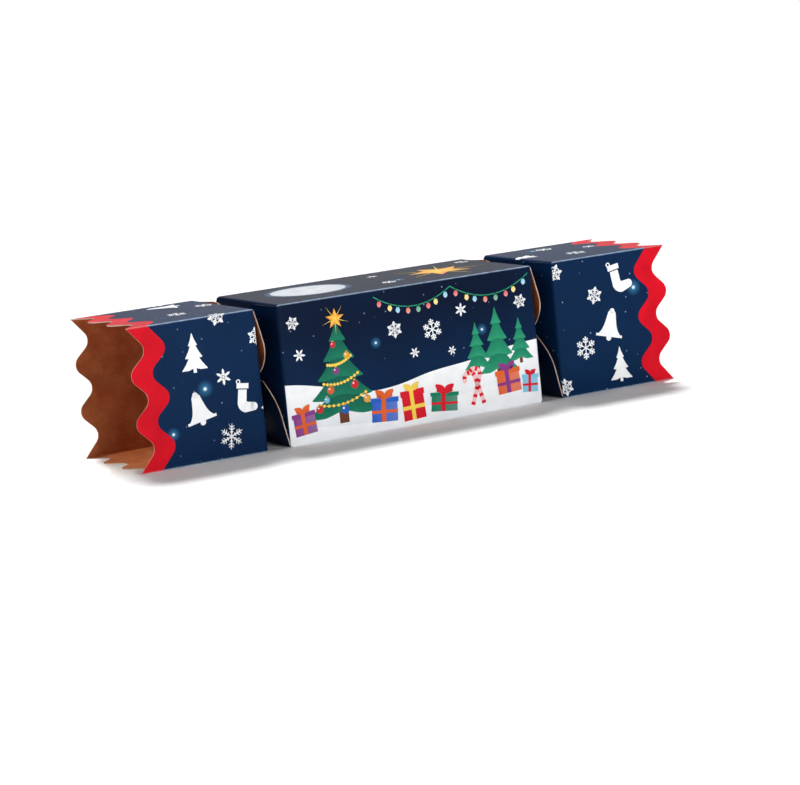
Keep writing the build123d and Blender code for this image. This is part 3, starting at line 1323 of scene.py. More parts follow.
def bauble(radius: float, ink: Ink, layer: int = 3) -> Motif:
    """A round bauble with a pale glint and a gold cap."""
    glint = disc(0.22 * radius, (-0.35 * radius, 0.35 * radius), 2, 15)
    cap = bar((0, 0.9 * radius), (0, 1.3 * radius), 0.5 * radius)
    ball = disc(radius)
    tone = shaded(ball, ink, Ink.DEEP_GREEN, np.linspace(0, 0.35, 3)[:, None])
    return [Stroke(cap, Ink.GOLD, layer), Stroke(ball, tone, layer), Stroke(glint, Ink.WHITE, layer + 1)]


def cane(height: float, layer: int = 2) -> Motif:
    """A candy cane standing on the origin, white with slanted red stripes."""
    radius = 0.17 * height
    path = np.vstack([
        straight((0, 0), (0, height - radius), 20)[:-1],
        arc((-radius, height - radius), radius, 0, 200, 17),
    ])
    body = ribbon(path, 0.13 * height)
    strokes = [Stroke(body, Ink.CANE, layer)]
    for start in range(0, len(path) - 4, 5):
        strokes.append(Stroke(ribbon(path[start:start + 3], 0.13 * height), Ink.RED, layer + 1))
    return strokes


def gold_star(radius: float, points: int, inner: float, layer: int = 3) -> Motif:
    """A star of folded facets, each point light on one half and deeper on the other, with fine rays."""
    strokes = []
    step = 180 / points
    for k in range(2 * points):
        here, there = step * k + 90, step * (k + 1) + 90
        near, far = (1.0, inner) if k % 2 == 0 else (inner, 1.0)
        edge = [arc((0, 0), radius * near, here, here, 1), arc((0, 0), radius * far, there, there, 1)]
        facet = fan(np.concatenate(edge), rows=4)
        ink = shaded(facet, Ink.YELLOW, Ink.GOLD if k % 2 else Ink.ORANGE, np.linspace(0.1, 0.8, 4)[:, None])
        strokes.append(Stroke(facet, ink, layer))
    for k in range(points):
        ray = bar((radius * 0.3, 0), (radius * 1.45, 0), np.linspace(0.07, 0.005, 5) * radius, 5)
        strokes.append(Stroke(turned(ray, 2 * step * (k + 0.5) + 90), Ink.YELLOW, layer - 1))
    return strokes


def moon(radius: float) -> Motif:
    """A bare full moon: a pale disc that darkens to its rim, with round grey plains and a faint halo."""
    halo = disc(radius * 1.16, rows=4, steps=49)
    halo_ink = shaded(halo, Ink.LIGHT_BLUE, Ink.NIGHT, np.array([0.5, 0.5, 0.62, 1.0])[:, None])
    face = disc(radius, rows=5, steps=49)
    face_ink = shaded(face, Ink.MOON, Ink.MOON_SHADE, np.linspace(0, 0.8, 5)[:, None] ** 2)
    strokes = [Stroke(halo, halo_ink, 0), Stroke(face, face_ink, 1)]
    plains = (
        (0.3, 0.35, 0.24), (-0.32, 0.1, 0.3), (0.1, -0.42, 0.2),
        (0.5, -0.12, 0.13), (-0.15, 0.6, 0.12), (-0.5, -0.4, 0.14),
    )
    for x, y, size in plains:
        spot = disc(radius * size, (radius * x, radius * y))
        ink = shaded(spot, Ink.MOON_SHADE, Ink.MOON, np.array([0.1, 0.35, 0.9])[:, None])
        strokes.append(Stroke(spot, ink, 2))
    return strokes


def swag_of_lights(start: Flat, end: Flat, sag: float, bulbs: int) -> Motif:
    """A string of coloured bulbs that hangs in a parabola between two points."""
    share = np.linspace(0, 1, 31)
    path = straight(start, end, 31) - stacked(0.0, 4 * sag * share * (1 - share))
    strokes = [Stroke(ribbon(path, 0.45), Ink.LIGHT_GREEN, 1)]
    inks = (Ink.RED, Ink.YELLOW, Ink.LIGHT_BLUE, Ink.ORANGE, Ink.LIGHT_GREEN)
    drop = np.linspace(0, 1, 9)
    for k in range(bulbs):
        at = path[round((k + 0.5) / bulbs * 30)]
        line = stacked(0.0, -3.6 * drop) + at
        bulb = ribbon(line, 0.7 + 1.7 * np.sin(drop ** 1.4 * math.pi) * (drop > 0.2))
        tone = shaded(bulb, inks[k % len(inks)], Ink.WHITE, (0.35 * drop)[:, None])
        socket = bar(at + [0, 0.3], at + [0, -0.8], 1.0)
        strokes += [Stroke(bulb, tone, 2), Stroke(socket, Ink.DEEP_GREEN, 3)]
    return strokes


class PrintSheet:
    """The printed motifs of one section, as thin films of ink on its outer face."""

    film: float = 0.03
    step: float = 0.012
    finer: int = 8
    fine_enough: int = 400

    def __init__(self, body: str, ends: Flat, folded: tuple[bool, bool]) -> None:
        """Starts an empty sheet.

        Args:
            body: The CAD body that it moves with.
            ends: Where the flat of the section starts and ends along the cracker.
            folded: Which of the ends turn in at a neck crease.
        """
        self.body = body
        self.ends = ends
        self.folded = folded
        self.surfaces = Surfaces(f"{body}_print")

    def fold_dip(self, x: Array) -> tuple[Array, Array]:
        """Keeps places on the section, and lets those past a neck crease follow its arc.

        Args:
            x: Wanted places along the cracker.

        Returns:
            Places on the section, and depths below its flat.
        """
        (low, low_folds), (high, high_folds) = sorted(zip(self.ends, self.folded))
        room = TUBE.crease_round * math.sin(NECK.lean / 2)
        kept = np.clip(x, low - room * low_folds, high + room * high_folds)
        past = np.maximum(low - kept, 0) + np.maximum(kept - high, 0)
        return kept, TUBE.crease_round - np.sqrt(TUBE.crease_round ** 2 - past ** 2)

    def lay(
        self, motif: Motif, x: float, around: float, size: float = 1.0, turn: float = 0.0, over: int = 0
    ) -> None:
        """Prints a motif.

        Args:
            motif: Its areas, in millimetres about their own origin.
            x: Place along the cracker.
            around: Distance round the tube.
            size: Scale of the motif.
            turn: Turn in degrees.
            over: How many films lie under the motif.
        """
        for stroke in motif:
            flat = turned(stroke.grid, turn) * size
            ink = stroke.ink.light if isinstance(stroke.ink, Ink) else stroke.ink
            if flat.size < self.fine_enough and self.bends(x + flat[..., 0], around + flat[..., 1]):
                flat = refined(flat, self.finer)
                ink = ink if isinstance(ink, tuple) else refined(ink, self.finer)
            place_x, dip = self.fold_dip(x + flat[..., 0])
            place_round = around + flat[..., 1]
            lift = self.film + self.step * (stroke.layer + over)
            bulge = TUBE.bulge(place_x, place_round, self.ends)
            points = TUBE.point(place_x, place_round, dip - lift - bulge)
            self.surfaces.add(points, 0, crease=TUBE.crease(place_round), ink=ink, axis_out=True)

    def bends(self, x: Array, around: Array) -> bool:
        """Whether an area reaches over a corner crease or a neck crease."""
        corners = np.floor_divide(around, TUBE.width)
        past = x.min() < min(self.ends) or x.max() > max(self.ends)
        return bool(corners.min() != corners.max() or TUBE.corner_distance(around).min() < 1 or past)

    def dress(self, film: Material) -> Piece:
        """Builds the films and ties them to their body."""
        piece = self.surfaces.build([film], solid=False)
        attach(piece, self.body)
        return piece


@dataclass(frozen=True)
class SleevePrint:
    """Snowflakes and white silhouettes on one sleeve, again on the sides that face away.

    A flake is its cut, x, distance round the tube, radius and turn.
    A shape is its motif, x, distance round the tube and turn.
    """

    sleeve: Sleeve
    flakes: tuple[tuple[Snowflake, float, float, float, float], ...]
    shapes: tuple[tuple[Motif, float, float, float], ...]

    def build(self, film: Material) -> Piece:
        """Prints the sleeve."""
        sheet = PrintSheet(f"{self.sleeve.end}_sleeve", self.sleeve.ends, (True, False))
        for cut, x, around, radius, turn in self.flakes:
            sheet.lay(cut.motif(), x, around, radius, turn)
            sheet.lay(cut.motif(), x, self.behind(around), radius, turn + 30)
        for shape, x, around, turn in self.shapes:
            sheet.lay(shape, x, around, 1.0, turn)
            sheet.lay(shape, x, self.behind(around), 1.0, turn + 180)
        return sheet.dress(film)

    def behind(self, around: float) -> float:
        """The same height on the back for a place on the front, or the bottom for a place on the top."""
        return 3 * TUBE.width - around if around < TUBE.width else around + 2 * TUBE.width


LEFT_PRINT = SleevePrint(
    Sleeve("left"),
    (
        (SPRIG, -103.2, 39.8, 4.1, 30.0),
        (DENDRITE, -102.2, 10.6, 6.4, 22.0),
        (LACE, -83.8, 56.7, 4.8, 35.0),
        (LACE, -103.6, 69.4, 4.8, 12.0),
        (LACE, -80.4, 21.9, 4.6, 0.0),
        (LACE, -90.8, 112.5, 5.0, 5.0),
        (FERN, -114.0, 93.0, 5.0, 18.0),
    ),
    (
        (fir(19.0, 14.0, 3, Ink.WHITE, Ink.WHITE), -117.5, 44.0, 0.0),
        (bell(15.0, Ink.WHITE), -119.0, 33.0, 12.0),
        (stocking(15.0, Ink.WHITE), -93.5, 35.5, -8.0),
        (bell(15.0, Ink.WHITE), -112.0, 130.0, 75.0),
    ),
)
RIGHT_PRINT = SleevePrint(
    Sleeve("right"),
    (
        (LACE, 84.6, 64.1, 4.7, 8.0),
        (LACE, 106.8, 49.7, 4.7, 16.0),
        (FERN, 99.2, 23.7, 5.9, 28.0),
        (LACE, 85.6, 5.4, 4.7, 38.0),
        (FERN, 110.7, 91.0, 5.4, 10.0),
        (LACE, 111.3, 124.4, 5.2, 0.0),
        (SPRIG, 129.0, 108.0, 4.0, 0.0),
    ),
    (
        (stocking(16.0, Ink.WHITE), 119.0, 64.0, 10.0),
        (bell(15.0, Ink.WHITE), 116.5, 40.0, -14.0),
        (fir(18.0, 13.5, 3, Ink.WHITE, Ink.WHITE), 119.0, 3.5, 0.0),
        (fir(17.0, 13.0, 3, Ink.WHITE, Ink.WHITE), 94.0, 105.0, 90.0),
    ),
)


@dataclass(frozen=True)
class CentrePrint:
    """A winter night round the centre box: snow, firs and gifts on two sides, moon and star on top."""

    tree_at: Flat = (-41.0, 7.5)
    tree_height: float = 50.0
    tree_width: float = 43.0
    foot_stops: tuple[float, ...] = (-0.7, -0.5, -0.25, 0.0, 0.25, 0.5, 0.7)
    hill_width: float = 1.6
    hill_columns: int = 73
    hill_rows: int = 10
    fold_steps: int = 9

    def snow(
        self, heights: tuple[float, ...], shade: float, layer: int, dark: Ink = Ink.SNOW_SHADE
    ) -> Motif:
        """A snow bank from the lower crease up to a smooth hill line: means of the heights, by bell curves.

        Args:
            heights: Hill heights, evenly spaced along the box.
            shade: How much blue shade lies at its foot.
            layer: How many areas lie under it.
            dark: Ink of the shade.

        Returns:
            The motif, with x along the box and heights as y.
        """
        end = NECK.centre_flat
        run = NECK.half_fold(self.fold_steps)[0][1:]
        flat = np.linspace(-end, end, self.hill_columns)
        x = np.concatenate([-end - run[::-1], flat, end + run])[:, None]
        knots = np.linspace(-end, end, len(heights))
        nearest = np.exp(-(((x - knots) / (knots[1] - knots[0])) ** 2) * self.hill_width)
        line = ((nearest * np.array(heights)).sum(axis=1) / nearest.sum(axis=1))[:, None]
        foot = np.array(self.foot_stops)
        rise = np.linspace(0, 1, self.hill_rows)[1:]
        up = np.concatenate([np.tile(foot, (len(x), 1)), foot[-1] + (line - foot[-1]) * rise], axis=1)
        bank = stacked(x, up)
        fall = (1 - up / line).clip(0, 1) ** 1.5 * shade * (0.75 + 0.25 * np.sin(x / 9.0))
        return [Stroke(bank, shaded(bank, Ink.WHITE, dark, fall), layer)]

    def trimmed_fir(self) -> Motif:
        """The large fir with strings of beads, baubles and a star."""
        width, height = self.tree_width, self.tree_height
        strokes = fir(height, width, 5, Ink.GREEN, Ink.DEEP_GREEN, 2)
        for low, reach, sag in ((0.24, 0.30, 2.6), (0.44, 0.22, 2.2), (0.62, 0.15, 1.6)):
            share = np.linspace(0, 1, 11)
            x = (share - 0.5) * 2 * reach * width
            y = low * height + (share - 0.5) * 3 - 4 * sag * share * (1 - share)
            strokes.append(Stroke(ribbon(stacked(x, y), 0.4), Ink.GOLD, 4))
            strokes += [Stroke(disc(0.75, (a, b), 2), Ink.YELLOW, 5) for a, b in zip(x, y)]
        balls = (
            (-0.3, 0.17, 2.0, Ink.RED), (0.02, 0.13, 2.3, Ink.BLUE), (0.31, 0.2, 2.0, Ink.GOLD),
            (-0.14, 0.34, 2.0, Ink.ORANGE), (0.17, 0.36, 2.1, Ink.RED), (-0.05, 0.52, 1.9, Ink.PURPLE),
            (0.1, 0.66, 1.7, Ink.GOLD), (-0.2, 0.25, 1.6, Ink.LIGHT_BLUE), (-0.06, 0.78, 1.5, Ink.RED),
        )
        for across, up, radius, ink in balls:
            strokes += hung(bauble(radius, ink), across * width, up * height)
        return strokes + hung(gold_star(5.2, 5, 0.42), 0, height + 1.5)

    def scatter(
        self, sheet: PrintSheet, flakes: tuple[PlacedFlake, ...], foot: float, up: int, spin: float
    ) -> None:
        """Prints snowflakes, each turned by its own place.

        Args:
            sheet: The sheet to print on.
            flakes: Cut, x, height above the foot and radius of each.
            foot: Distance round the tube of the side's foot.
            up: 1 where the distance round grows upwards, else -1.
            spin: Degrees of turn for each millimetre of x.
        """
        for cut, x, rise, radius in flakes:
            sheet.lay(cut.motif(), x, foot + up * rise, radius, spin * x)

    def front(self, sheet: PrintSheet) -> None:
        """The front: snow banks, the trimmed fir, gifts, canes, small firs and strings of lights."""
        sheet.lay(self.snow((31, 27, 20, 21, 26, 27, 31, 33), 0.5, 0), 0, 0)
        firs = ((36.0, 21.0, 25.0, 16.0), (61.0, 22.0, 23.0, 15.0), (48.0, 17.0, 35.0, 23.0))
        for x, foot, height, width in firs:
            sheet.lay(fir(height, width, 4, Ink.LIGHT_GREEN, Ink.GREEN, 1), x, foot)
        sheet.lay(self.trimmed_fir(), *self.tree_at, over=1)
        sheet.lay(self.snow((9, 7, 5, 7, 9, 12, 14, 13), 0.35, 9), 0, 0)
        parcels = (
            (-62.0, 5.0, 12.0, 11.0, Ink.PURPLE, Ink.ORANGE, 6.0),
            (-19.0, 4.5, 14.5, 12.0, Ink.BLUE, Ink.ORANGE, -4.0),
            (-2.0, 3.0, 12.5, 15.0, Ink.RED, Ink.YELLOW, 3.0),
            (14.5, 4.5, 15.0, 9.5, Ink.GREEN, Ink.RED, -6.0),
            (53.0, 8.0, 13.5, 12.0, Ink.ORANGE, Ink.PURPLE, 4.0),
            (64.5, 6.5, 9.0, 9.0, Ink.LIGHT_BLUE, Ink.RED, -5.0),
        )
        for x, foot, width, height, paper, tie, turn in parcels:
            sheet.lay(gift(width, height, paper, tie), x, foot, 1.0, turn, 9)
        for x, turn in ((31.0, -20.0), (37.5, 16.0)):
            sheet.lay(cane(18.0), x, 5.0, 1.0, turn, 9)
        sheet.lay(swag_of_lights((-19.0, 66.5), (24.0, 66.0), 7.0, 8), 0, 0)
        sheet.lay(swag_of_lights((24.0, 66.0), (69.0, 66.5), 7.5, 8), 0, 0)
        flakes = (
            (LACE, -9.0, 49.0, 4.4), (FERN, 12.0, 46.0, 5.4), (SPRIG, 29.0, 53.5, 3.4),
            (SPRIG, 1.0, 36.0, 2.7), (LACE, 63.0, 53.0, 3.8), (SPRIG, -62.0, 44.0, 3.2),
            (LACE, -64.0, 60.0, 3.6), (SPRIG, 22.0, 34.0, 2.4),
        )
        self.scatter(sheet, flakes, 0.0, 1, 3.0)

    def top(self, sheet: PrintSheet) -> None:
        """The top: a bare moon, a folded star and a few flakes."""
        foot = TUBE.width
        sheet.lay(moon(19.0), -36.0, foot + 37.0)
        sheet.lay(gold_star(17.0, 5, 0.46), 37.0, foot + 34.0, 1.0, 14.0)
        flakes = ((LACE, 1.0, 20.0, 4.2), (SPRIG, 8.0, 52.0, 3.2), (FERN, 63.0, 57.0, 4.2))
        self.scatter(sheet, flakes, foot, 1, 4.0)

    def back(self, sheet: PrintSheet) -> None:
        """The back: snow banks with deeper painted shade at their foot, small firs and flakes, the right way
        up.
        """
        foot = 3 * TUBE.width
        # The back's snow is deeper blue at its foot than the front's: painted shade, so that its lower edge
        # stands apart from the floor under the bright key light.
        hills = self.snow((24, 27, 30, 26, 21, 20, 25, 28), 0.9, 0, Ink.SNOW_PAINTED_SHADE)
        sheet.lay(hills, 0, foot, 1.0, 180.0)
        firs = (
            (-52.0, 17.0, 36.0, 24.0), (-31.0, 14.0, 27.0, 18.0),
            (10.0, 13.0, 31.0, 21.0), (47.0, 16.0, 38.0, 25.0),
        )
        for x, rise, height, width in firs:
            sheet.lay(fir(height, width, 4, Ink.LIGHT_GREEN, Ink.GREEN, 1), x, foot - rise, 1.0, 180.0)
        # Painted shade, deeper blue, at the foot of the near drift too.
        drift = self.snow((12, 9, 7, 9, 12, 9, 7, 9), 0.9, 4, Ink.SNOW_PAINTED_SHADE)
        sheet.lay(drift, 0, foot, 1.0, 180.0)
        flakes = (
            (FERN, -14.0, 50.0, 5.4), (LACE, 28.0, 55.0, 4.6), (SPRIG, 14.0, 58.0, 3.2),
            (LACE, -62.0, 60.0, 4.2), (SPRIG, -34.0, 58.0, 3.4), (FERN, 63.0, 60.0, 4.6),
        )
        self.scatter(sheet, flakes, foot, -1, 5.0)

    def bottom(self, sheet: PrintSheet) -> None:
        """The bottom: flakes alone, in three loose rows."""
        cuts = list(Snowflake)
        for k in range(9):
            x, across = -56.0 + 14.0 * k, 16.0 + 19.0 * (k % 3)
            motif = cuts[k % len(cuts)].motif()
            sheet.lay(motif, x, 3 * TUBE.width + across, 4.0 + 0.6 * (k % 2), 23.0 * k)

    def build(self, film: Material) -> Piece:
        """Prints all four sides."""
        sheet = PrintSheet("centre_box", (-NECK.centre_flat, NECK.centre_flat), (True, True))
        for side in (self.front, self.top, self.back, self.bottom):
            side(sheet)
        return sheet.dress(film)


def lumps(points: Array, size: float, seed: int) -> Array:
    """Smooth unevenness from -1 to 1: the mean of sine waves in random directions.

    Args:
        points: Points in millimetres, with a last axis of 3.
        size: Length of a wave.
        seed: Picks the directions and phases.

    Returns:
        One value for each point.
    """
    chance = np.random.default_rng(seed)
    waves = chance.normal(size=(7, 3))
    waves = waves / np.linalg.norm(waves, axis=1, keepdims=True) * chance.uniform(0.7, 1.6, (7, 1))
    phase = chance.uniform(0, 2 * math.pi, 7)
    return np.sin(points @ waves.T * (2 * math.pi / size) + phase).mean(axis=-1)


def rounded(angle: Array, power: float) -> tuple[Array, Array]:
    """A closed section between a circle and a box: cosine and sine, each to a power below 1."""
    cosine, sine = np.cos(angle), np.sin(angle)
    return np.sign(cosine) * np.abs(cosine) ** power, np.sign(sine) * np.abs(sine) ** power


@dataclass(frozen=True)
class Treats:
    """What the centre box holds: fir-shaped biscuits, dried chews and two layers of kibble. Millimetres."""

    smooth_past: float = 80.0
    tiers: int = 3
    notch: float = 0.34
    trunk: float = 9.0
    trunk_width: float = 13.0
    biscuit_columns: int = 56
    biscuit_round: float = 0.32
    biscuit_sunk: float = 0.5
    biscuit_pits: float = 0.9
    stick_rows: int = 90
    stick_columns: int = 120
    stick_taper: float = 7.0
    stick_ridges: float = 4.5
    stick_ridge_depth: float = 0.17
    stick_wrinkles: float = 10.5
    stick_wrinkle_depth: float = 0.11
    kibble_counts: tuple[int, int, int] = (4, 4, 2)
    kibble_pitch: float = 13.2
    kibble_turn: float = 47.0
    kibble_reach: float = 4.5
    kibble_columns: int = 24
    kibble_levels: tuple[float, ...] = (-90, -62, -38, -15, 15, 38, 62, 90)
    kibble_corners: float = 0.15

    def room(self, node: str) -> tuple[Array, Array]:
        """A node's middle and half size."""
        low, high = (np.array(corner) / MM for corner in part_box(node))
        return (low + high) / 2, (high - low) / 2

    def place(self, surfaces: Surfaces, finish: Material, slot: str, node: str) -> Piece:
        """Builds a piece that rides in the centre box and stands for a node."""
        piece = surfaces.build([finish], sharp=self.smooth_past)
        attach(piece, "centre_box")
        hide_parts(node)
        return piece

    def biscuit(self, which: str, finish: Material) -> Piece:
        """A flat fir: its half width steps out at each tier, and its section is a box with round edges."""
        node = f"{which}_tree_biscuit"
        middle, half = self.room(node)
        crown = 2 * half[0] - self.trunk
        stops = np.array([0.04, 0.2, 0.4, 0.6, 0.8, 0.93, 0.99, 1.0])
        within = np.tile(stops, self.tiers)
        tier = np.repeat(np.arange(self.tiers), len(stops))
        wide = half[1] * (tier + 1 + self.notch) / (self.tiers + self.notch)
        waist = half[1] * (tier + self.notch) / (self.tiers + self.notch) * (1 - self.notch)
        start = np.where(tier == 0, 0.06 * half[1], waist)
        rim = np.where(within > 0.95, 0.96 - (within - 0.99) * 4, 1.0)
        width = (start + (wide - start) * within) * rim
        along = (tier + within) * crown / self.tiers
        stem = np.linspace(crown + 0.6, 2 * half[0] - 0.4, 6)
        along = np.concatenate([[0.0, 0.0], along, stem, [2 * half[0]] * 2])
        stem_width = self.trunk_width / 2 * np.array([1, 1, 1, 1, 1, 0.97])
        width = np.concatenate([[0.0, 0.4], width, stem_width, [self.trunk_width / 2 * 0.86, 0.0]])
        thick = np.full(len(along), half[2])
        thick[[0, 1, -2, -1]] = [0.0, 0.75 * half[2], 0.8 * half[2], 0.0]
        angle = np.linspace(0, 2 * math.pi, self.biscuit_columns + 1)[:-1]
        across, up = rounded(angle, self.biscuit_round)
        lengthwise = (middle[0] - half[0] + along)[:, None]
        grid = stacked(lengthwise, width[:, None] * across, middle[2] + thick[:, None] * up)
        uneven = 0.5 + 0.5 * lumps(grid, 14.0, len(which))
        pits = np.maximum(lumps(grid, 5.0, len(which) + 1), 0)
        sunk = (self.biscuit_sunk * uneven + self.biscuit_pits * pits) * (thick / half[2])[:, None]
        grid[..., 2] -= np.sign(up) * np.abs(up) ** 4 * sunk
        grid[..., 1] *= 1 - 0.02 * uneven
        surfaces = Surfaces(f"{node}_crumb")
        surfaces.add(grid, closed=(False, True))
        return self.place(surfaces, finish, "biscuit", node)

    def stick(self, which: str, finish: Material) -> Piece:
        """A dried chew: a round bar with blunt ends, drawn into ridges that wind slowly along it."""
        node = f"{which}_chew_stick"
        middle, half = self.room(node)
        along = np.concatenate([[0.0], np.linspace(0, 2 * half[0], self.stick_rows), [2 * half[0]]])
        angle = np.linspace(0, 2 * math.pi, self.stick_columns + 1)[:-1]
        from_end = np.minimum(along, 2 * half[0] - along)
        body = 0.5 + 0.5 * np.sin(np.clip(from_end / self.stick_taper, 0, 1) * math.pi / 2)
        body[[0, -1]] = 0.0
        seed = len(which)
        wind = 0.5 * (np.sin(along / 11 + seed) + 0.6 * np.sin(along / 4.3 + 2 * seed))[:, None]
        ridges = np.abs(np.sin(self.stick_ridges * angle + 3 * wind)) ** 0.6
        fine = np.abs(np.sin(self.stick_wrinkles * angle - 4 * wind + along[:, None] / 7)) ** 0.8
        swell = 1 - 0.07 * (1 + np.sin(along / 9 + 2 * seed))
        radius = body * swell * half[1]
        least = 1 - self.stick_ridge_depth - self.stick_wrinkle_depth
        depth = least + self.stick_ridge_depth * ridges + self.stick_wrinkle_depth * fine
        spoke = radius[:, None] * depth
        lengthwise = (middle[0] - half[0] + along)[:, None]
        grid = stacked(lengthwise, middle[1] + spoke * np.cos(angle), middle[2] + spoke * np.sin(angle))
        surfaces = Surfaces(f"{node}_hide")
        surfaces.add(grid, closed=(False, True))
        return self.place(surfaces, finish, "chew", node)

    def kibble(self, finish: Material) -> Piece:
        """Blunt three-sided chunks in rows: a rounded triangle that narrows to both faces."""
        middle, half = self.room("kibble_pieces")
        cols, rows, layers = self.kibble_counts
        angle = np.linspace(0, 2 * math.pi, self.kibble_columns + 1)[:-1]
        level = np.radians(np.array(self.kibble_levels))
        rise = np.sign(level) * np.abs(np.sin(level)) ** 0.6
        spread = np.cos(level) ** 0.4
        spread[[0, -1]] = 0.0
        thick = half[2] / layers
        surfaces = Surfaces("kibble_chunks")
        for i in range(cols * rows * layers):
            layer, row, col = i // (cols * rows), i // cols % rows, i % cols
            corners = 1 + self.kibble_corners * np.cos(3 * angle)
            outline = self.kibble_reach * corners * (1 - 0.04 * np.cos(2 * angle + i))
            turn = math.radians(self.kibble_turn * i)
            side = spread[:, None] * outline
            lift = (0.93 * thick * rise)[:, None]
            chunk = stacked(side * np.cos(angle + turn), side * np.sin(angle + turn), lift)
            chunk = chunk * (0.95 + 0.05 * lumps(chunk, 6.0, i))[..., None]
            place = np.array([
                middle[0] + ((cols - 1) / 2 - col) * self.kibble_pitch,
                middle[1] + (row - (rows - 1) / 2) * self.kibble_pitch,
                middle[2] + (layer - (layers - 1) / 2) * 2 * thick,
            ])
            surfaces.add(chunk + place, closed=(False, True))
        return self.place(surfaces, finish, "kibble", "kibble_pieces")

    def build(self, effects: Effects) -> list[Piece]:
        """Makes everything in the box."""
        oat = BakedCrumb("oat_biscuit", "d2a566", "a8733a", "7a4a22", 160.0, 330.0, 0.5).build(effects)
        hide = DriedHide().build(effects)
        crumb = BakedCrumb("kibble_crumb", "8f4a2b", "5a2a18", "c07a4a", 420.0, 900.0, 0.35).build(effects)
        made = [self.biscuit(which, oat) for which in ("lower", "upper")]
        made += [self.stick(which, hide) for which in ("front", "middle", "rear")]
        return [*made, self.kibble(crumb)]


def stand(
    data: bpy.types.Camera | bpy.types.Light, side: Array, back: Array, place: Array
) -> bpy.types.Object:
    """Puts a camera or a light into the scene.

    Args:
        data: The camera or the light.
        side: Its own x direction.
        back: The direction away from what it faces.
        place: Its place in metres.

    Returns:
        The new object.
    """
    turn = np.eye(4)
    turn[:3] = np.column_stack([side, np.cross(back, side), back, place])
    made = bpy.data.objects.new(data.name, data)
    made.matrix_world = Matrix(turn.tolist())
    bpy.context.scene.collection.objects.link(made)
    return made


@dataclass(frozen=True)
class PhotoView:
    """The photograph's camera. Millimetres, degrees and pixels of an 800 x 785 picture."""

    distance: float = 1568.0
    azimuth: float = 27.28
    elevation: float = 8.45
    roll: float = -5.58
    focal_px: float = 3095.0
    picture_width: float = 800.0
    sensor: float = 36.0
    target: Spot = (8.8, 0.0, 11.7)

    def build(self) -> None:
        """Makes the camera and gives it to the scene."""
        az, el, roll = (math.radians(a) for a in (self.azimuth, self.elevation, self.roll))
        forward = np.array([math.sin(az) * math.cos(el), math.cos(az) * math.cos(el), -math.sin(el)])
        right = np.array([math.cos(az), -math.sin(az), 0.0])
        side = math.cos(roll) * right + math.sin(roll) * np.cross(right, forward)
        data = bpy.data.cameras.new("photo_camera")
        data.sensor_width = self.sensor
        data.sensor_fit = "HORIZONTAL"
        data.lens = self.focal_px / self.picture_width * self.sensor
        data.clip_end = 60.0
        place = (np.array(self.target) - self.distance * forward) * MM
        bpy.context.scene.camera = stand(data, side, -forward, place)


MIDDLE = (0.0, 0.0, TUBE.width / 2 * MM)


def aim(light: bpy.types.Light, place: Spot, target: Spot) -> None:
    """Puts a light at a place, in metres, with its beam towards a target."""
    away = np.array(place) - np.array(target)
    back = away / np.linalg.norm(away)
    side = np.cross([0.0, 1.0, 0.02], back)
    stand(light, side / np.linalg.norm(side), back, np.array(place))


@dataclass(frozen=True)
class SoftBox:
    """A round soft light. Metres, watts and degrees."""

    name: str
    place: Spot
    size: float
    power: float
    target: Spot = MIDDLE
    spread: float = 180.0

    def build(self) -> None:
        """Makes the light."""
        data = bpy.data.lights.new(self.name, "AREA")
        data.shape = "DISK"
        data.size = self.size
        data.energy = self.power
        data.spread = math.radians(self.spread)
        aim(data, self.place, self.target)


@dataclass(frozen=True)
class BroadLight:
    """Even light from one direction, softened by its width in degrees."""

    name: str
    place: Spot
    spread: float
    strength: float

    def build(self) -> None:
        """Makes the light."""
        data = bpy.data.lights.new(self.name, "SUN")
        data.angle = math.radians(self.spread)
        data.energy = self.strength
        aim(data, self.place, MIDDLE)


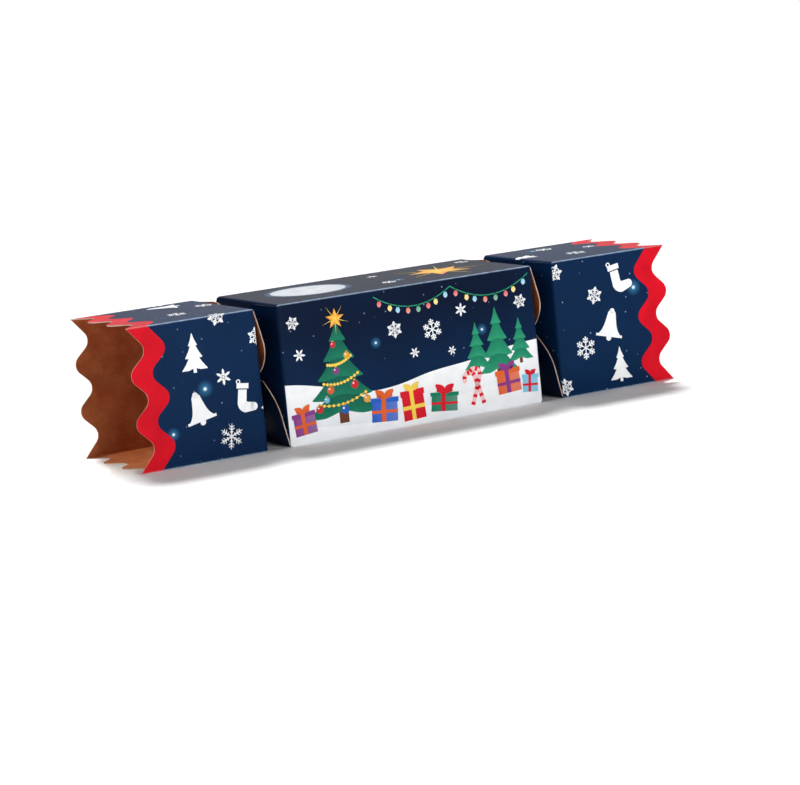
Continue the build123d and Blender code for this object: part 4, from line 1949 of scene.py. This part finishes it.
@dataclass(frozen=True)
class Studio:
    """A plain pale floor under a broad key, soft fills and a dim surround. Metres."""

    floor_reach: float = 30.0
    floor_steps: int = 9
    horizon: float = 0.06
    ceiling: float = 0.11
    lights: tuple[SoftBox | BroadLight, ...] = (
        BroadLight("key_light", (0.26, 0.80, 1.36), 15.0, 3.7),
        SoftBox("front_softbox", (0.25, -2.0, 0.30), 0.9, 26.0),
        SoftBox("side_softbox", (-1.9, -0.15, 1.05), 0.7, 12.0),
        SoftBox("back_softbox", (1.7, 3.2, 0.95), 1.6, 4.5),
        SoftBox("mouth_softbox", (-0.68, -0.06, 0.26), 0.05, 0.0095, (-0.13, 0.0, 0.0), 6.0),
    )

    def build(self, effects: Effects) -> None:
        """Makes the floor, the surrounding light and the lamps."""
        stops = np.linspace(-self.floor_reach, self.floor_reach, self.floor_steps) / MM
        x, y = np.meshgrid(stops, stops, indexing="ij")
        surfaces = Surfaces("studio_floor")
        surfaces.add(stacked(x, y, 0.0))
        floor = surfaces.build([PaleFloor().build(effects)], solid=False)
        world = bpy.data.worlds.new("studio")
        world.use_nodes = True
        kit = Shading(world.node_tree)
        direction = kit.node("ShaderNodeTexCoord").outputs["Generated"]
        height = kit.node("ShaderNodeSeparateXYZ", {0: direction}).outputs[2]
        surround = kit.tree.nodes["Background"].inputs
        kit.join(surround["Strength"], kit.ramp(height, 0.0, 0.7, self.horizon, self.ceiling))
        kit.join(surround["Color"], (1.0, 1.0, 1.0, 1.0))
        bpy.context.scene.world = world
        bpy.context.scene.view_settings.view_transform = "Standard"
        for lamp in self.lights:
            lamp.build()


def main() -> None:
    """Builds every piece in order."""
    logging.basicConfig(level=logging.INFO, format="%(message)s")
    effects = Effects()
    PhotoView().build()
    Studio().build(effects)
    board = [finish().build(effects) for finish in (PrintedBoard, RedBand, KraftInside, CutEdge)]
    film = InkFilm().build(effects)
    pieces = [CentreBox().build(board), CentrePrint().build(film)]
    for printed in (LEFT_PRINT, RIGHT_PRINT):
        pieces += [printed.sleeve.build(board), printed.build(film)]
        end = printed.sleeve.end
        for side in SIDES:
            pieces += [NeckFlap(end, side, place).build(board) for place in ("inner", "outer")]
    for node in ("centre_glue_flap", "left_glue_flap", "right_glue_flap"):
        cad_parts[node].data.materials.clear()
        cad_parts[node].data.materials.append(board[BoardFinish.KRAFT])
    pieces += Treats().build(effects)
    for piece in pieces:
        LOG.info("made %s", piece.name)


if __name__ == "__main__":
    main()
